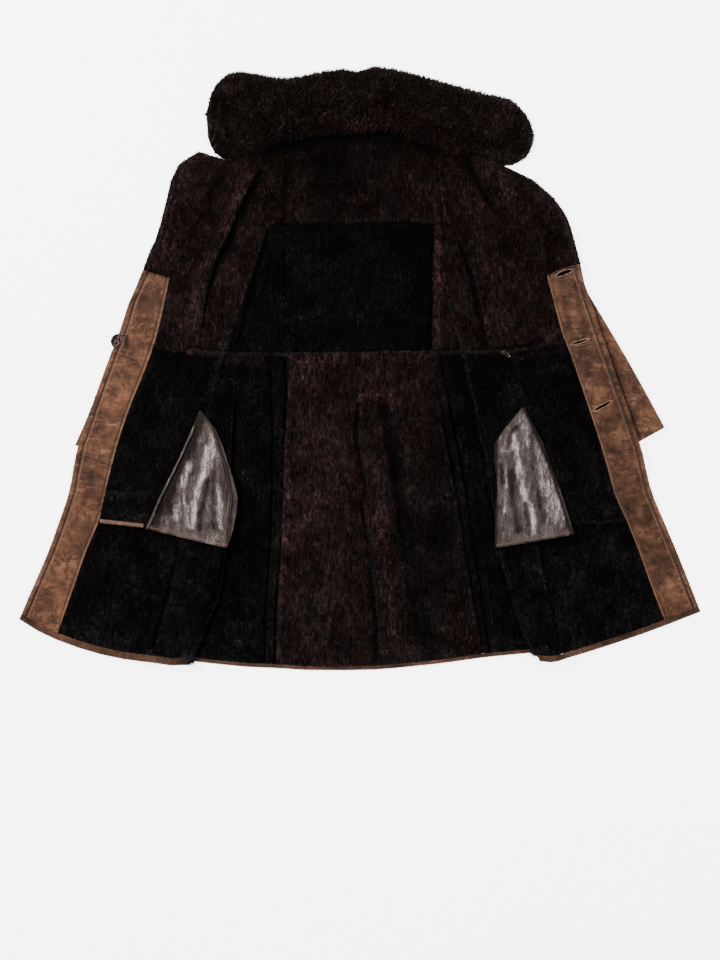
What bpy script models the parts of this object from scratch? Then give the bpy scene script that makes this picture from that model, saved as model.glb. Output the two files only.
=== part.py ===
"""A shearling coat laid out on its back, wide open, with the fur up.

Tables and functions are in millimetres and meshes in metres. +X is the wearer's left, +Y runs to the
collar and +Z up. The origin is on the floor under the middle of the coat. A line down the coat gives
x for a y, and a line across it gives y for an x. Each piece is a wall on a grid of such lines."""

import bisect
import math

import bmesh
import bpy
import numpy as np
from mathutils.bvhtree import BVHTree

MM = 0.001

# Thicknesses and heights
WALL = 9.0  # skin and clipped fur
COLLAR_WALL = 20.0
STAND_WALL = 24.0
SHAVED = 4.5  # a front under its facing
SUEDE = 2.5
HEM_HEIGHT = 7.2
SLEEVE_WALL = 8.0
PLY = 1.3  # pocket leather
GAP = 0.3  # between pieces that meet or lie on each other
LOOSE = 0.8  # the same where two pieces follow one line with points of their own

# Widths along edges
BACK_BAND = 7.0
FRONT_BAND = {"r": 13.0, "l": 11.0}
FREE_ROUND = 9.0
FOLD_ROUND = 8.0
SEAM_REACH = 9.0
SEAM_DIP = 2.5
LEAST_FUR = 3.0  # a fur wall is never thinner
TUCK = 2.0  # how far a free edge's foot stands back
LAYER_NOTCH = 1.5  # between the edges of layers in one solid
OVERHANG = 2.0  # of a fold's upper layer over the lower one

# How a front lies over what is under it
SLEEVE_LIFT = 2 * SLEEVE_WALL + 2 * GAP
PLEAT_LIFT = 17.5
FLAT_MARGIN = 28.0  # a layer stays level this far past what it lies on
SLOPE = 50.0  # and comes down over this
PLEAT_TOP, PLEAT_FULL = 26.0, -110.0  # y where a side fold starts, and where it is full
PLEAT_SOLID_TOP, PLEAT_DEPTH = -45.0, 36.0  # where its hidden layers start, and how wide they are
PLEAT_CLEARANCE = 0.8  # between them and the gore over them
FADE_TOP, FADE_LOW = 100.0, 28.0  # y where the upper folds run out into the waist

BUTTON_RADIUS = 14.0
BUTTON_HEIGHT = 6.0
BUTTONS = ((-365, 156), (-423, 46), (-454, -63))
BUTTONHOLES = (((341, 159), (371, 170)), ((369, 41), (398, 49)), ((406, -76), (440, -58)))
BUTTONHOLE_GAPE = 3.0
CUT_HEIGHT = 60.0
EDGING_GAP = 9.0  # from the right pocket bag's edge to its top ply

COLOURS = {
    "fur_brown": ((0.034, 0.018, 0.015), 0.95, 0.0),
    "fur_black": ((0.011, 0.008, 0.009), 0.95, 0.0),
    "collar_fur": ((0.030, 0.020, 0.014), 0.95, 0.0),
    "suede": ((0.212, 0.105, 0.056), 0.90, 0.0),
    "pocket_leather": ((0.080, 0.056, 0.048), 0.30, 0.0),
    "horn": ((0.050, 0.032, 0.024), 0.45, 0.0),
    "wire": ((0.420, 0.390, 0.350), 0.35, 1.0),
}


# Lines


def line(rows):
    """A smooth line through (place, value) rows that never swings past them, straight beyond the last."""
    at, value = zip(*sorted((float(a), float(b)) for a, b in rows))
    step = [b - a for a, b in zip(at, at[1:])]
    rise = [(b - a) / s for a, b, s in zip(value, value[1:], step)]
    bends = [2 * a * b / (a + b) if a * b > 0 else 0.0 for a, b in zip(rise, rise[1:])]
    slope = [rise[0], *bends, rise[-1]]

    def read(place):
        inside = min(max(place, at[0]), at[-1])
        i = min(bisect.bisect_right(at, inside), len(step)) - 1
        t = (inside - at[i]) / step[i]
        smooth = (
            value[i] * (1 + 2 * t) * (1 - t) ** 2
            + slope[i] * step[i] * t * (1 - t) ** 2
            + value[i + 1] * t * t * (3 - 2 * t)
            - slope[i + 1] * step[i] * t * t * (1 - t)
        )
        return smooth + (place - inside) * slope[0 if place < at[0] else -1]

    return read


def table(columns, *rows):
    """Lines by name, one for each column after the first, which holds their places."""
    names = columns.split()[1:]
    return {name: line([(row[0], row[i + 1]) for row in rows]) for i, name in enumerate(names)}


def straight(start, end):
    return lambda place: start[1] + (end[1] - start[1]) * (place - start[0]) / (end[0] - start[0])


def level(value):
    return lambda place: value


def shift(curve, by):
    return lambda place: curve(place) + by


# The fronts' outer edges, revers included, and the inner edges of their facings
FRONTS = table(
    "y  edge_r facing_r facing_l edge_l",
    (380, -284, -230, 192, 205),
    (370, -304, -234, 198, 223),
    (355, -320, -240, 208, 249),
    (329, -331, -252, 226, 300),
    (292, -340, -270, 256, 342),
    (256, -349, -286, 282, 364),
    (220, -360, -304, 304, 375),
    (184, -376, -322, 319, 384),
    (160, -383, -331, 325, 388),
    (117, -403, -340, 336, 402),
    (52, -424, -356, 354, 424),
    (26, -435, -364, 365, 433),
    (-65, -468, -400, 396, 465),
    (-135, -493, -424, 419, 489),
    (-220, -512, -446, 444, 512),
    (-268, -528, -458, 466, 532),
    (-320, -547, -480, 487, 554),
    (-390, -577, -504, 512, 582),
    (-439, -598, -521, 531, 601),
)
# Folds and seams above the waist
UPPER = table(
    "y  fold_r side_r back_r back_l inner_l fold_l",
    (376, -172, -124, -124, 129, 139, 139),
    (340, -184, -127, -127, 129, 140, 140),
    (303, -206, -130, -130, 129, 143, 144),
    (270, -219, -134, -132, 129, 146, 151),
    (250, -227, -162, -132, 129, 146, 162),
    (215, -242, -175, -131, 129, 146, 179),
    (172, -262, -190, -130, 128, 147, 197),
    (122, -274, -206, -129, 127, 158, 211),
    (75, -281, -223, -127, 126, 163, 220),
    (26, -286, -236, -123, 125, 182, 227),
)
# Folds and seams of the skirt. The back's soft folds are the hump, rise, trough and crest
SKIRT = table(
    "y  gore_r fold_r back_r hump centre rise trough crest back_l fold_l gore_l",
    (26, -240, -218, -123, -66, 3, 18, 36, 76, 129, 183, 265),
    (-20, -251, -221, -125, -67, 2, 18, 37, 77, 134, 190, 276),
    (-65, -263, -224, -128, -67, 0, 19, 38, 79, 139, 202, 284),
    (-112, -277, -227, -130, -67, -3, 22, 41, 86, 144, 210, 289),
    (-178, -290, -230, -135, -67, 0, 28, 52, 97, 157, 226, 297),
    (-240, -302, -232, -137, -67, 7, 34, 66, 108, 169, 234, 303),
    (-315, -319, -237, -140, -66, 17, 43, 79, 123, 181, 245, 309),
    (-390, -329, -248, -143, -62, 25, 49, 93, 136, 192, 264, 327),
    (-450, -348, -272, -145, -59, 30, 53, 107, 147, 204, 282, 342),
    (-515, -370, -298, -146, -57, 32, 57, 124, 160, 217, 316, 355),
)
# The sleeves' two edges
SLEEVES = table(
    "y  outer_r inner_r inner_l outer_l",
    (300, -320, -210, 150, 305),
    (250, -342, -230, 165, 343),
    (206, -356, -249, 186, 360),
    (172, -368, -265, 200, 375),
    (117, -400, -277, 215, 407),
    (60, -421, -287, 230, 441),
    (9, -440, -304, 268, 471),
    (-60, -466, -325, 331, 509),
    (-105, -487, -338, 362, 533),
    (-135, -500, -346, 381, 545),
    (-190, -522, -360, 406, 565),
)
POCKETS = {
    "r": table(
        "y  left right",
        (-76, -282, -277),
        (-114, -297, -249),
        (-170, -323, -230),
        (-231, -353, -214),
        (-282, -377, -222),
        (-315, -393, -232),
    ),
    "l": table(
        "y  left right",
        (-70, 282, 287),
        (-95, 261, 299),
        (-124, 238, 315),
        (-144, 231, 323),
        (-214, 239, 349),
        (-271, 234, 368),
        (-315, 235, 381),
    ),
}
POCKET_TOP = {"r": level(-76), "l": level(-70)}
POCKET_FOOT = {"r": straight((-377, -282), (-232, -315)), "l": straight((235, -315), (372, -292))}

NECK = line(
    [(-281, 380), (-256, 371), (-237, 366), (-206, 369), (-172, 377), (-141, 392), (-106, 402)]
    + [(-71, 408), (-27, 411), (17, 415), (48, 417), (69, 412), (90, 399), (113, 383)]
    + [(141, 375), (179, 377), (209, 371), (256, 352)]
)
YOKE = level(258)
FACING_TOP = line(
    [(-400, 172), (-377, 170), (-332, 158), (-280, 154), (280, 156), (325, 161), (346, 172)]
    + [(372, 180), (400, 184)]
)
WAIST = line(
    [(-440, 46), (-356, 36), (-310, 29), (-255, 26), (-125, 25), (125, 28), (235, 28), (270, 30)]
    + [(310, 36), (361, 46), (430, 54)]
)
FACING_SEAM_1 = line(
    [(-440, 26), (-374, 10), (-300, -1), (-220, -3), (180, -3), (300, 4), (368, 21), (430, 35)]
)
FACING_SEAM_2 = line([(-500, -150), (-435, -172), (-300, -178), (300, -160), (500, -150)])
POCKET_LEVEL = line(
    [(-530, -262), (-458, -268), (-381, -276), (-298, -285), (302, -278), (384, -271)]
    + [(466, -266), (545, -261)]
)
HEM_BACK = line(
    [(-300, -514), (-277, -516), (-252, -519), (-203, -524), (-154, -526), (-80, -530), (-7, -530)]
    + [(66, -526), (115, -521), (164, -515), (213, -508), (262, -503), (316, -498)]
)
HEM_FRONT = {
    "r": line(
        [(-598, -441), (-570, -459), (-546, -471), (-497, -490), (-448, -504), (-399, -513)]
        + [(-350, -517), (-325, -521), (-295, -519)]
    ),
    "l": line([(297, -511), (336, -515), (360, -508), (409, -495), (458, -479), (507, -462), (600, -426)]),
}
CAP = level(300)
CUFF = {"r": straight((-500, -135), (-360, -189)), "l": straight((403, -177), (535, -103))}
COLLAR_TOP = line(
    [(-269, 441), (-263, 474), (-249, 500), (-232, 513), (-213, 518), (-185, 514), (-158, 509)]
    + [(-132, 506), (-97, 511), (-53, 520), (-18, 523), (-8, 517), (3, 523), (20, 527), (60, 522)]
    + [(104, 511), (172, 492), (218, 480), (262, 469), (283, 452), (297, 429), (304, 406)]
)
COLLAR_ENDS = {
    "r": line([(-269, 439), (-267, 408), (-260, 386), (-251, 374), (-237, 366)]),
    "l": line([(256, 352), (288, 369), (300, 387), (304, 403)]),
}
COLLAR_END_AT = {"r": -237.0, "l": 256.0}  # x where each end leaves the neck line
STAND_WIDTH = line(
    [(-146, 3), (-132, 9), (-106, 13), (-71, 19), (-36, 29), (-10, 43), (17, 49), (43, 49)]
    + [(69, 43), (90, 50), (113, 56), (139, 49), (165, 33), (185, 8), (191, 3)]
)
STAND_FROM, STAND_TO = -146.0, 191.0
COLLAR_SPAN = (-269.0, 304.0)

# Soft ridges (height over 0) and troughs (under 0) in the fur, along paths of (x, y)
FOLDS = (
    # name, height, half width, path
    ("hump of the right back skirt", 4.0, 45.0, ((-67, -38), (-67, -240), (-58, -480))),
    ("trough at the centre seam", -2.5, 10.0, ((0, -65), (-3, -112), (0, -178), (17, -315), (30, -470))),
    ("rise between the troughs", 5.0, 13.0, ((20, -74), (28, -178), (43, -315), (53, -480))),
    ("trough beside it", -4.0, 15.0, ((38, -60), (41, -112), (66, -240), (93, -390), (116, -490))),
    ("crest left of them", 3.0, 26.0, ((79, -65), (97, -178), (123, -315), (150, -470))),
    ("left breast valley", -4.5, 14.0, ((181, 372), (206, 329), (227, 303), (253, 250))),
    ("left breast ridge", 5.0, 16.0, ((205, 366), (244, 340), (288, 285))),
    ("left roll", -3.5, 15.0, ((256, 340), (302, 278), (339, 233), (356, 196))),
    ("right roll", -3.5, 15.0, ((-243, 360), (-298, 285), (-352, 212))),
    ("right breast ridge", 5.0, 16.0, ((-196, 335), (-246, 242), (-287, 136))),
    ("right breast valley", -3.5, 14.0, ((-222, 330), (-276, 262), (-309, 189))),
    ("left breast crest", 4.0, 12.0, ((152, 345), (168, 262), (206, 180), (228, 100))),
    ("crease of the collar's right end", -6.0, 8.0, ((-239, 474), (-242, 438), (-236, 400))),
    ("hollow above the stand", -4.0, 16.0, ((-120, 425), (-40, 452), (30, 478), (100, 462))),
    ("crown of the collar", 3.0, 26.0, ((-200, 470), (-60, 492), (60, 496), (220, 440))),
)
POCKET_CREASES = {
    "r": (
        ("long crease", 1.2, 9.0, ((-276, -100), (-283, -200), (-296, -290))),
        ("outer crease", 1.0, 9.0, ((-262, -115), (-243, -220), (-250, -300))),
        ("hollow", -0.5, 8.0, ((-270, -110), (-264, -210), (-274, -290))),
    ),
    "l": (
        ("long crease", 1.2, 9.0, ((284, -85), (290, -180), (300, -295))),
        ("inner crease", 1.0, 9.0, ((262, -110), (254, -200), (252, -300))),
        ("outer crease", 1.0, 8.0, ((300, -110), (323, -200), (343, -285))),
    ),
}


# Heights


def fall(distance, reach):
    """1 up to no distance, 0 past the reach, smooth between."""
    t = min(max(distance / reach, 0.0), 1.0)
    return 1 - t * t * (3 - 2 * t)


def path_distance(x, y, path):
    """The shortest way from a point to a path."""
    path = np.array(path, float)
    start, run = path[:-1], np.diff(path, axis=0)
    away = np.array((x, y)) - start
    share = np.clip((away * run).sum(1) / (run * run).sum(1), 0, 1)
    return float(np.sqrt(((away - share[:, None] * run) ** 2).sum(1)).min())


def relief(x, y, folds=FOLDS):
    total = 0.0
    for _name, height, half_width, path in folds:
        d = path_distance(x, y, path)
        if d < 2 * half_width:
            total += height * (0.5 + 0.5 * math.cos(math.pi * d / (2 * half_width)))
    return total


def inner_sleeve(side):
    """A sleeve's inner edge, kept just outside the fold that the front makes over it."""
    edge, fold = SLEEVES["inner_" + side], UPPER["fold_" + side]
    if side == "r":
        return lambda y: min(edge(y), fold(y) - 2 * OVERHANG)
    return lambda y: max(edge(y), fold(y) + 2 * OVERHANG)


SLEEVE_EDGES = {
    "r": (SLEEVES["outer_r"], inner_sleeve("r")),
    "l": (inner_sleeve("l"), SLEEVES["outer_l"]),
}


def sleeve_lift(x, y):
    """How high the sleeve on this side holds what lies on it."""
    side = "r" if x < 0 else "l"
    left, right = SLEEVE_EDGES[side]
    outside = max(left(y) - x, x - right(y), y - CAP(x), CUFF[side](x) - y)
    return SLEEVE_LIFT * fall(outside - FLAT_MARGIN, SLOPE)


def button_lift(x, y):
    held = BUTTON_HEIGHT + GAP
    return max(
        held * fall(math.hypot(x - bx, y - by) - BUTTON_RADIUS - FLAT_MARGIN, SLOPE)
        for bx, by in BUTTONS
    )


def pleat_rise(y):
    """The height of a side fold's hidden layers, which starts at the waist."""
    return PLEAT_LIFT * (1 - fall(PLEAT_TOP - y, PLEAT_TOP - PLEAT_FULL))


def pleat_lift(x, y):
    inward = SKIRT["fold_r"](y) - x if x < 0 else x - SKIRT["fold_l"](y)
    return pleat_rise(y) * fall(inward - 2 * FLAT_MARGIN, SLOPE)


def ground(x, y):
    """The underside of a front, over its sleeve, its side fold and its buttons."""
    return (sleeve_lift(x, y) ** 4 + pleat_lift(x, y) ** 4) ** 0.25 + button_lift(x, y)


def side_ground(x, y):
    """The upper back lies on the floor and joins the fronts' height at the waist."""
    return ground(x, y) * (1 - fall(FADE_TOP - y, FADE_TOP - FADE_LOW))


def floor(x, y):
    return 0.0


def under_facing(x, y):
    return (x < FRONTS["facing_r"](y) or x > FRONTS["facing_l"](y)) and y < FACING_TOP(x)


def upper_overhang(y):
    """How far a breast fold hangs over, from 0 at the neck and at the waist."""
    low_part = 1 - fall(y - FADE_TOP + 28, 25)
    return OVERHANG * low_part * (1 - fall(335 - y, 20))


def skirt_overhang(y):
    return OVERHANG * (1 - fall(-60 - y, 45))


def moved(curve, by, sign):
    """A line moved sideways by an amount that changes along it."""
    return lambda place: curve(place) + sign * by(place)


def between(a, b, count, near_a=(), near_b=()):
    """Lines from a to b: both of them, some at set distances inside each, and count even steps between."""

    def inside(end, other, distance, most):
        def read(place):
            width = other(place) - end(place)
            return end(place) + math.copysign(distance * min(1.0, 0.3 * abs(width) / most), width)

        return read

    first = [a] + [inside(a, b, d, max(near_a)) for d in sorted(near_a)]
    last = [inside(b, a, d, max(near_b)) for d in sorted(near_b, reverse=True)] + [b]
    start, end = first[-1], last[0]

    def part(share):
        return lambda place: start(place) + (end(place) - start(place)) * share

    return first + [part(i / count) for i in range(1, count)] + last


def joined(*runs):
    """Runs of lines end to end, with each shared line once."""
    return [curve for i, run in enumerate(runs) for curve in (run if i == 0 else run[1:])]


# Walls


def crossing(column, row):
    """Where a line down the coat meets a line across it, by false position on y."""
    low, high = -800.0, 800.0
    at_low, at_high = row(column(low)) - low, row(column(high)) - high
    for _ in range(60):
        y = (low * at_high - high * at_low) / (at_high - at_low)
        miss = row(column(y)) - y
        if abs(miss) < 1e-7:
            break
        if miss > 0:
            low, at_low, at_high = y, miss, at_high / 2
        else:
            high, at_high, at_low = y, miss, at_low / 2
    return column(y), y


def material(slot):
    found = bpy.data.materials.get(slot)
    if found:
        return found
    colour, roughness, metallic = COLOURS[slot]
    made = bpy.data.materials.new(slot)
    made.use_nodes = True
    shader = made.node_tree.nodes["Principled BSDF"]
    shader.inputs["Base Color"].default_value = (*colour, 1)
    shader.inputs["Roughness"].default_value = roughness
    shader.inputs["Metallic"].default_value = metallic
    return made


def finish(name, slot, mesh_maker):
    """An object from a bmesh in millimetres."""
    mesh = bpy.data.meshes.new(name)
    bmesh.ops.recalc_face_normals(mesh_maker, faces=mesh_maker.faces)
    for vertex in mesh_maker.verts:
        vertex.co *= MM
    mesh_maker.to_mesh(mesh)
    mesh_maker.free()
    mesh.shade_smooth()
    mesh.set_sharp_from_angle(angle=math.radians(50))
    mesh.materials.append(material(slot))
    piece = bpy.data.objects.new(name, mesh)
    bpy.context.scene.collection.objects.link(piece)
    return piece


class Beneath:
    """The tops of finished pieces, to lay others on."""

    def __init__(self, pieces):
        self.trees = []
        for piece in pieces:
            spots = [tuple(v.co / MM) for v in piece.data.vertices]
            faces = [tuple(face.vertices) for face in piece.data.polygons]
            self.trees.append(BVHTree.FromPolygons(spots, faces))

    def top(self, x, y):
        """The highest point within a millimetre, or 0 over the bare floor."""
        found = [0.0]
        for dx, dy in ((0, 0), (1, 0), (-1, 0), (0, 1), (0, -1)):
            for tree in self.trees:
                spot = tree.ray_cast((x + dx, y + dy, 500), (0, 0, -1))[0]
                if spot:
                    found.append(spot.z)
        return max(found)


SAMPLES = (0.0, 0.17, 0.5, 0.83, 1.0)  # across a cell, where a laid piece is compared with what it lies on
SETTLING_ROUNDS = 8


def settle(places, heights, beneath, clear):
    """Raises a grid of heights until its cells clear what is beneath, each corner by its share."""
    for _ in range(SETTLING_ROUNDS):
        for i in range(len(places) - 1):
            for j in range(len(places[0]) - 1):
                corner = places[i : i + 2, j : j + 2].reshape(4, 2)
                z = heights[i : i + 2, j : j + 2].reshape(4)
                for v in SAMPLES:
                    for u in SAMPLES:
                        share = np.array(((1 - u) * (1 - v), u * (1 - v), (1 - u) * v, u * v))
                        x, y = share @ corner
                        across = (z[1] - z[0], z[3] - z[1]) if u > v else (z[3] - z[2], z[2] - z[0])
                        down = z[0] + across @ np.array((u, v))
                        up = z[0] + (z[1] - z[0]) * u + (z[2] - z[0]) * v
                        if u + v > 1:
                            up = z[3] + (z[2] - z[3]) * (1 - u) + (z[1] - z[3]) * (1 - v)
                        short = beneath.top(x, y) + clear - min(down, up)
                        if short > 0:
                            z = z + short * share / (share @ share)
                heights[i : i + 2, j : j + 2] = z.reshape(2, 2)
    return heights


def wall(name, slot, columns, rows, low, full, gaps=(GAP / 2,) * 4, tuck=(0,) * 4, layers=1, over=()):
    """A closed wall on the grid of columns (left to right) and rows (top to foot), full thick on low.

    gaps and tuck are for its left, right, top and foot: how far that edge keeps back from its line,
    and how far its underside keeps back from that. layers is how many edges show round its sides.
    over lists finished pieces that it rests on."""
    left, right, top, foot = gaps
    columns = [shift(columns[0], left)] + columns[1:-1] + [shift(columns[-1], -right)]
    rows = [shift(rows[0], -top)] + rows[1:-1] + [shift(rows[-1], foot)]
    places = np.array([[crossing(column, row) for column in columns] for row in rows])
    down, across = places.shape[:2]
    feet = np.array([[low(x, y) for x, y in row] for row in places])
    if over:
        feet = settle(places, feet, Beneath(over), GAP)
    heads = feet + np.array([[full(x, y) for x, y in row] for row in places])

    bm = bmesh.new()
    bmesh.ops.create_grid(bm, x_segments=across - 1, y_segments=down - 1, size=1)
    bmesh.ops.triangulate(bm, faces=bm.faces, quad_method="FIXED")
    index = bm.verts.layers.int.new("grid")
    for vertex in bm.verts:
        i = round((1 - vertex.co.y) / 2 * (down - 1))
        j = round((1 + vertex.co.x) / 2 * (across - 1))
        vertex[index] = i * across + j

    def place(vertex, share, back):
        i, j = divmod(vertex[index], across)
        x, y = places[i, j]
        x += back[0] * (j == 0) - back[1] * (j == across - 1)
        y += back[3] * (i == down - 1) - back[2] * (i == 0)
        vertex.co = (x, y, feet[i, j] + (heads[i, j] - feet[i, j]) * share)

    under = list(bm.faces)
    for vertex in bm.verts:
        place(vertex, 0, tuck)
    ring_count = 2 * layers if layers > 1 else 1
    upper = under
    for k in range(1, ring_count + 1):
        grown = bmesh.ops.extrude_face_region(bm, geom=upper)["geom"]
        if k > 1:
            bmesh.ops.delete(bm, geom=upper, context="FACES")
        upper = [item for item in grown if isinstance(item, bmesh.types.BMFace)]
        notch = LAYER_NOTCH if k % 2 == 0 and k < ring_count else 0
        for vertex in {v for face in upper for v in face.verts}:
            place(vertex, k / ring_count, (notch,) * 4)
    for faces, heights in ((under, feet), (upper, heads)):
        if np.ptp(heights) < 1e-6:
            bmesh.ops.dissolve_faces(bm, faces=faces, use_verts=False)
    return finish(name, slot, bm)


def edge_height(kind, distance, full):
    """What an edge does to a wall's height this far inside it."""
    if kind in ("free", "fold"):
        reach = FREE_ROUND if kind == "free" else FOLD_ROUND
        inside = min(max(distance / reach, 0.0), 1.0)
        return -0.5 * full * (1 - math.sqrt(1 - (1 - inside) ** 2))
    if kind == "seam":
        return -SEAM_DIP * max(1 - max(distance, 0.0) / SEAM_REACH, 0.0) ** 2
    return 0.0


def panel(name, slot, columns, rows, base, edges, gaps=(GAP / 2,) * 4):
    """A fur panel on its base. edges names what its left, right, top and foot are."""

    def full(x, y):
        if under_facing(x, y):
            return SHAVED
        height = WALL + relief(x, y)
        inside = (x - columns[0](y), columns[-1](y) - x, rows[0](x) - y, y - rows[-1](x))
        for kind, distance in zip(edges, inside):
            if kind == "neck":
                kind = "seam" if COLLAR_END_AT["r"] < x < COLLAR_END_AT["l"] else "free"
            height += edge_height(kind, distance, WALL)
        return max(height, LEAST_FUR)

    tuck = [TUCK if kind in ("free", "fold") else 0 for kind in edges]
    return wall(name, slot, columns, rows, base, full, gaps, tuck)


# The coat's grid


NEAR_SEAM = (7,)
NEAR_FOLD = (4,)
NEAR_FREE = (5,)
ZONE = {  # columns of a facing
    "r": between(FRONTS["edge_r"], shift(FRONTS["facing_r"], -1), 2, near_a=NEAR_FREE),
    "l": between(shift(FRONTS["facing_l"], 1), FRONTS["edge_l"], 2, near_b=NEAR_FREE),
}
FUR_AT_FACING = {"r": shift(FRONTS["facing_r"], 1), "l": shift(FRONTS["facing_l"], -1)}
BREAST_FOLD = {
    "r": moved(UPPER["fold_r"], upper_overhang, 1),
    "l": moved(UPPER["fold_l"], upper_overhang, -1),
}
UNDER_BREAST = {
    "r": moved(UPPER["fold_r"], upper_overhang, -1),
    "l": moved(UPPER["fold_l"], upper_overhang, 1),
}
SKIRT_FOLD = {
    "r": moved(SKIRT["fold_r"], skirt_overhang, 1),
    "l": moved(SKIRT["fold_l"], skirt_overhang, -1),
}
UNDER_SKIRT = {
    "r": moved(SKIRT["fold_r"], skirt_overhang, -1),
    "l": moved(SKIRT["fold_l"], skirt_overhang, 1),
}

ABOVE_YOKE = between(NECK, YOKE, 4, near_a=NEAR_FREE, near_b=NEAR_SEAM)
YOKE_TO_FACING = between(YOKE, shift(FACING_TOP, 1), 3, near_a=NEAR_SEAM)
FACING_TO_WAIST = between(shift(FACING_TOP, -1), WAIST, 4, near_b=NEAR_SEAM)
BELOW_YOKE = YOKE_TO_FACING + FACING_TO_WAIST
UPPER_ROWS = joined(ABOVE_YOKE, BELOW_YOKE)
MIDDLE_TOP = between(WAIST, FACING_SEAM_1, 1, near_a=NEAR_SEAM)
MIDDLE_CENTRE = between(FACING_SEAM_1, FACING_SEAM_2, 6)
MIDDLE_LOW = between(FACING_SEAM_2, POCKET_LEVEL, 4, near_b=NEAR_SEAM)
MIDDLE_ROWS = joined(MIDDLE_TOP, MIDDLE_CENTRE, MIDDLE_LOW)
HEM_ROWS = {
    side: between(POCKET_LEVEL, shift(HEM_FRONT[side], FRONT_BAND[side]), 7, NEAR_SEAM, NEAR_SEAM)
    for side in "rl"
}
BACK_SKIRT_ROWS = between(WAIST, shift(HEM_BACK, BACK_BAND), 17, NEAR_SEAM, NEAR_SEAM)
ON_SEAM = GAP / 2


# Pieces


def back_pieces():
    across_side = between(UPPER["side_r"], UPPER["back_r"], 1, NEAR_SEAM, NEAR_SEAM)
    yoke = between(UPPER["side_r"], UNDER_BREAST["l"], 9, NEAR_SEAM, NEAR_SEAM)
    centre = between(UPPER["back_r"], UPPER["back_l"], 9, NEAR_SEAM, NEAR_SEAM)
    narrow = between(UPPER["back_l"], UPPER["inner_l"], 1, NEAR_SEAM, NEAR_SEAM)
    under_r = between(UNDER_BREAST["r"], UPPER["side_r"], 2, NEAR_SEAM, NEAR_SEAM)
    under_l = between(UPPER["inner_l"], UNDER_BREAST["l"], 2, NEAR_SEAM, NEAR_SEAM)
    neck, foot = LOOSE / 2, LOOSE / 2
    pieces = (
        # node, slot, columns, rows, left and right edge, top edge, gaps
        ("back_yoke", "fur_brown", yoke, ABOVE_YOKE, "seam plain", "seam", (neck, ON_SEAM)),
        ("back_side_upper_r", "fur_black", across_side, BELOW_YOKE, "seam seam", "seam", (ON_SEAM, foot)),
        ("back_centre_upper", "fur_black", centre, BELOW_YOKE, "seam seam", "seam", (ON_SEAM, foot)),
        ("back_side_upper_l", "fur_brown", narrow, BELOW_YOKE, "seam seam", "seam", (ON_SEAM, foot)),
        ("underarm_r", "fur_brown", under_r, UPPER_ROWS, "plain seam", "seam", (neck, foot)),
        ("underarm_l", "fur_brown", under_l, BELOW_YOKE, "seam plain", "seam", (ON_SEAM, foot)),
    )
    for name, slot, columns, rows, sides, top, ends in pieces:
        edges = (*sides.split(), top, "seam")
        gaps = [ON_SEAM if side == "seam" else LOOSE / 2 for side in sides.split()]
        panel(name, slot, columns, rows, side_ground, edges, (*gaps, *ends))


def skirt_columns():
    """Columns of the back skirt's four panels, from the right fold to the left one."""
    side_r = between(UNDER_SKIRT["r"], SKIRT["back_r"], 3, NEAR_SEAM, NEAR_SEAM)
    centre_r = joined(
        between(SKIRT["back_r"], SKIRT["hump"], 2, NEAR_SEAM),
        between(SKIRT["hump"], SKIRT["centre"], 2, (), NEAR_SEAM),
    )
    centre_l = joined(
        [SKIRT["centre"], shift(SKIRT["centre"], 6), SKIRT["rise"], SKIRT["trough"]],
        [SKIRT["trough"], SKIRT["crest"]],
        between(SKIRT["crest"], SKIRT["back_l"], 2, (), NEAR_SEAM),
    )
    side_l = between(SKIRT["back_l"], UNDER_SKIRT["l"], 3, NEAR_SEAM, NEAR_SEAM)
    return side_r, centre_r, centre_l, side_l


def back_skirt():
    """The back skirt's two side panels, by side."""
    made = {}
    sides = (LOOSE / 2, ON_SEAM), (ON_SEAM, ON_SEAM), (ON_SEAM, ON_SEAM), (ON_SEAM, LOOSE / 2)
    kinds = ("plain", "seam"), ("seam", "seam"), ("seam", "seam"), ("seam", "plain")
    nodes = (
        ("skirt_side_r", "fur_black"),
        ("skirt_centre_r", "fur_brown"),
        ("skirt_centre_l", "fur_brown"),
        ("skirt_side_l", "fur_black"),
    )
    for (name, slot), columns, gaps, edges in zip(nodes, skirt_columns(), sides, kinds):
        edges, gaps = (*edges, "seam", "seam"), (*gaps, LOOSE / 2, ON_SEAM)
        made[name] = panel(name, slot, columns, BACK_SKIRT_ROWS, floor, edges, gaps)
    return {side: made["skirt_side_" + side] for side in "rl"}


def front_columns(side, inner, count, near):
    """Columns of a front: from its inner line to the facing, then the facing's own."""
    if side == "r":
        return ZONE["r"] + between(FUR_AT_FACING["r"], inner, count, (), near)
    return between(inner, FUR_AT_FACING["l"], count, near) + ZONE["l"]


def gore_columns(side):
    if side == "r":
        return between(SKIRT["gore_r"], SKIRT_FOLD["r"], 2, NEAR_SEAM, NEAR_FOLD)
    return between(SKIRT_FOLD["l"], SKIRT["gore_l"], 2, NEAR_FOLD, NEAR_SEAM)


def in_order(side, inner, outer):
    """An inner and an outer thing as left and right ones."""
    return (outer, inner) if side == "r" else (inner, outer)


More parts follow.
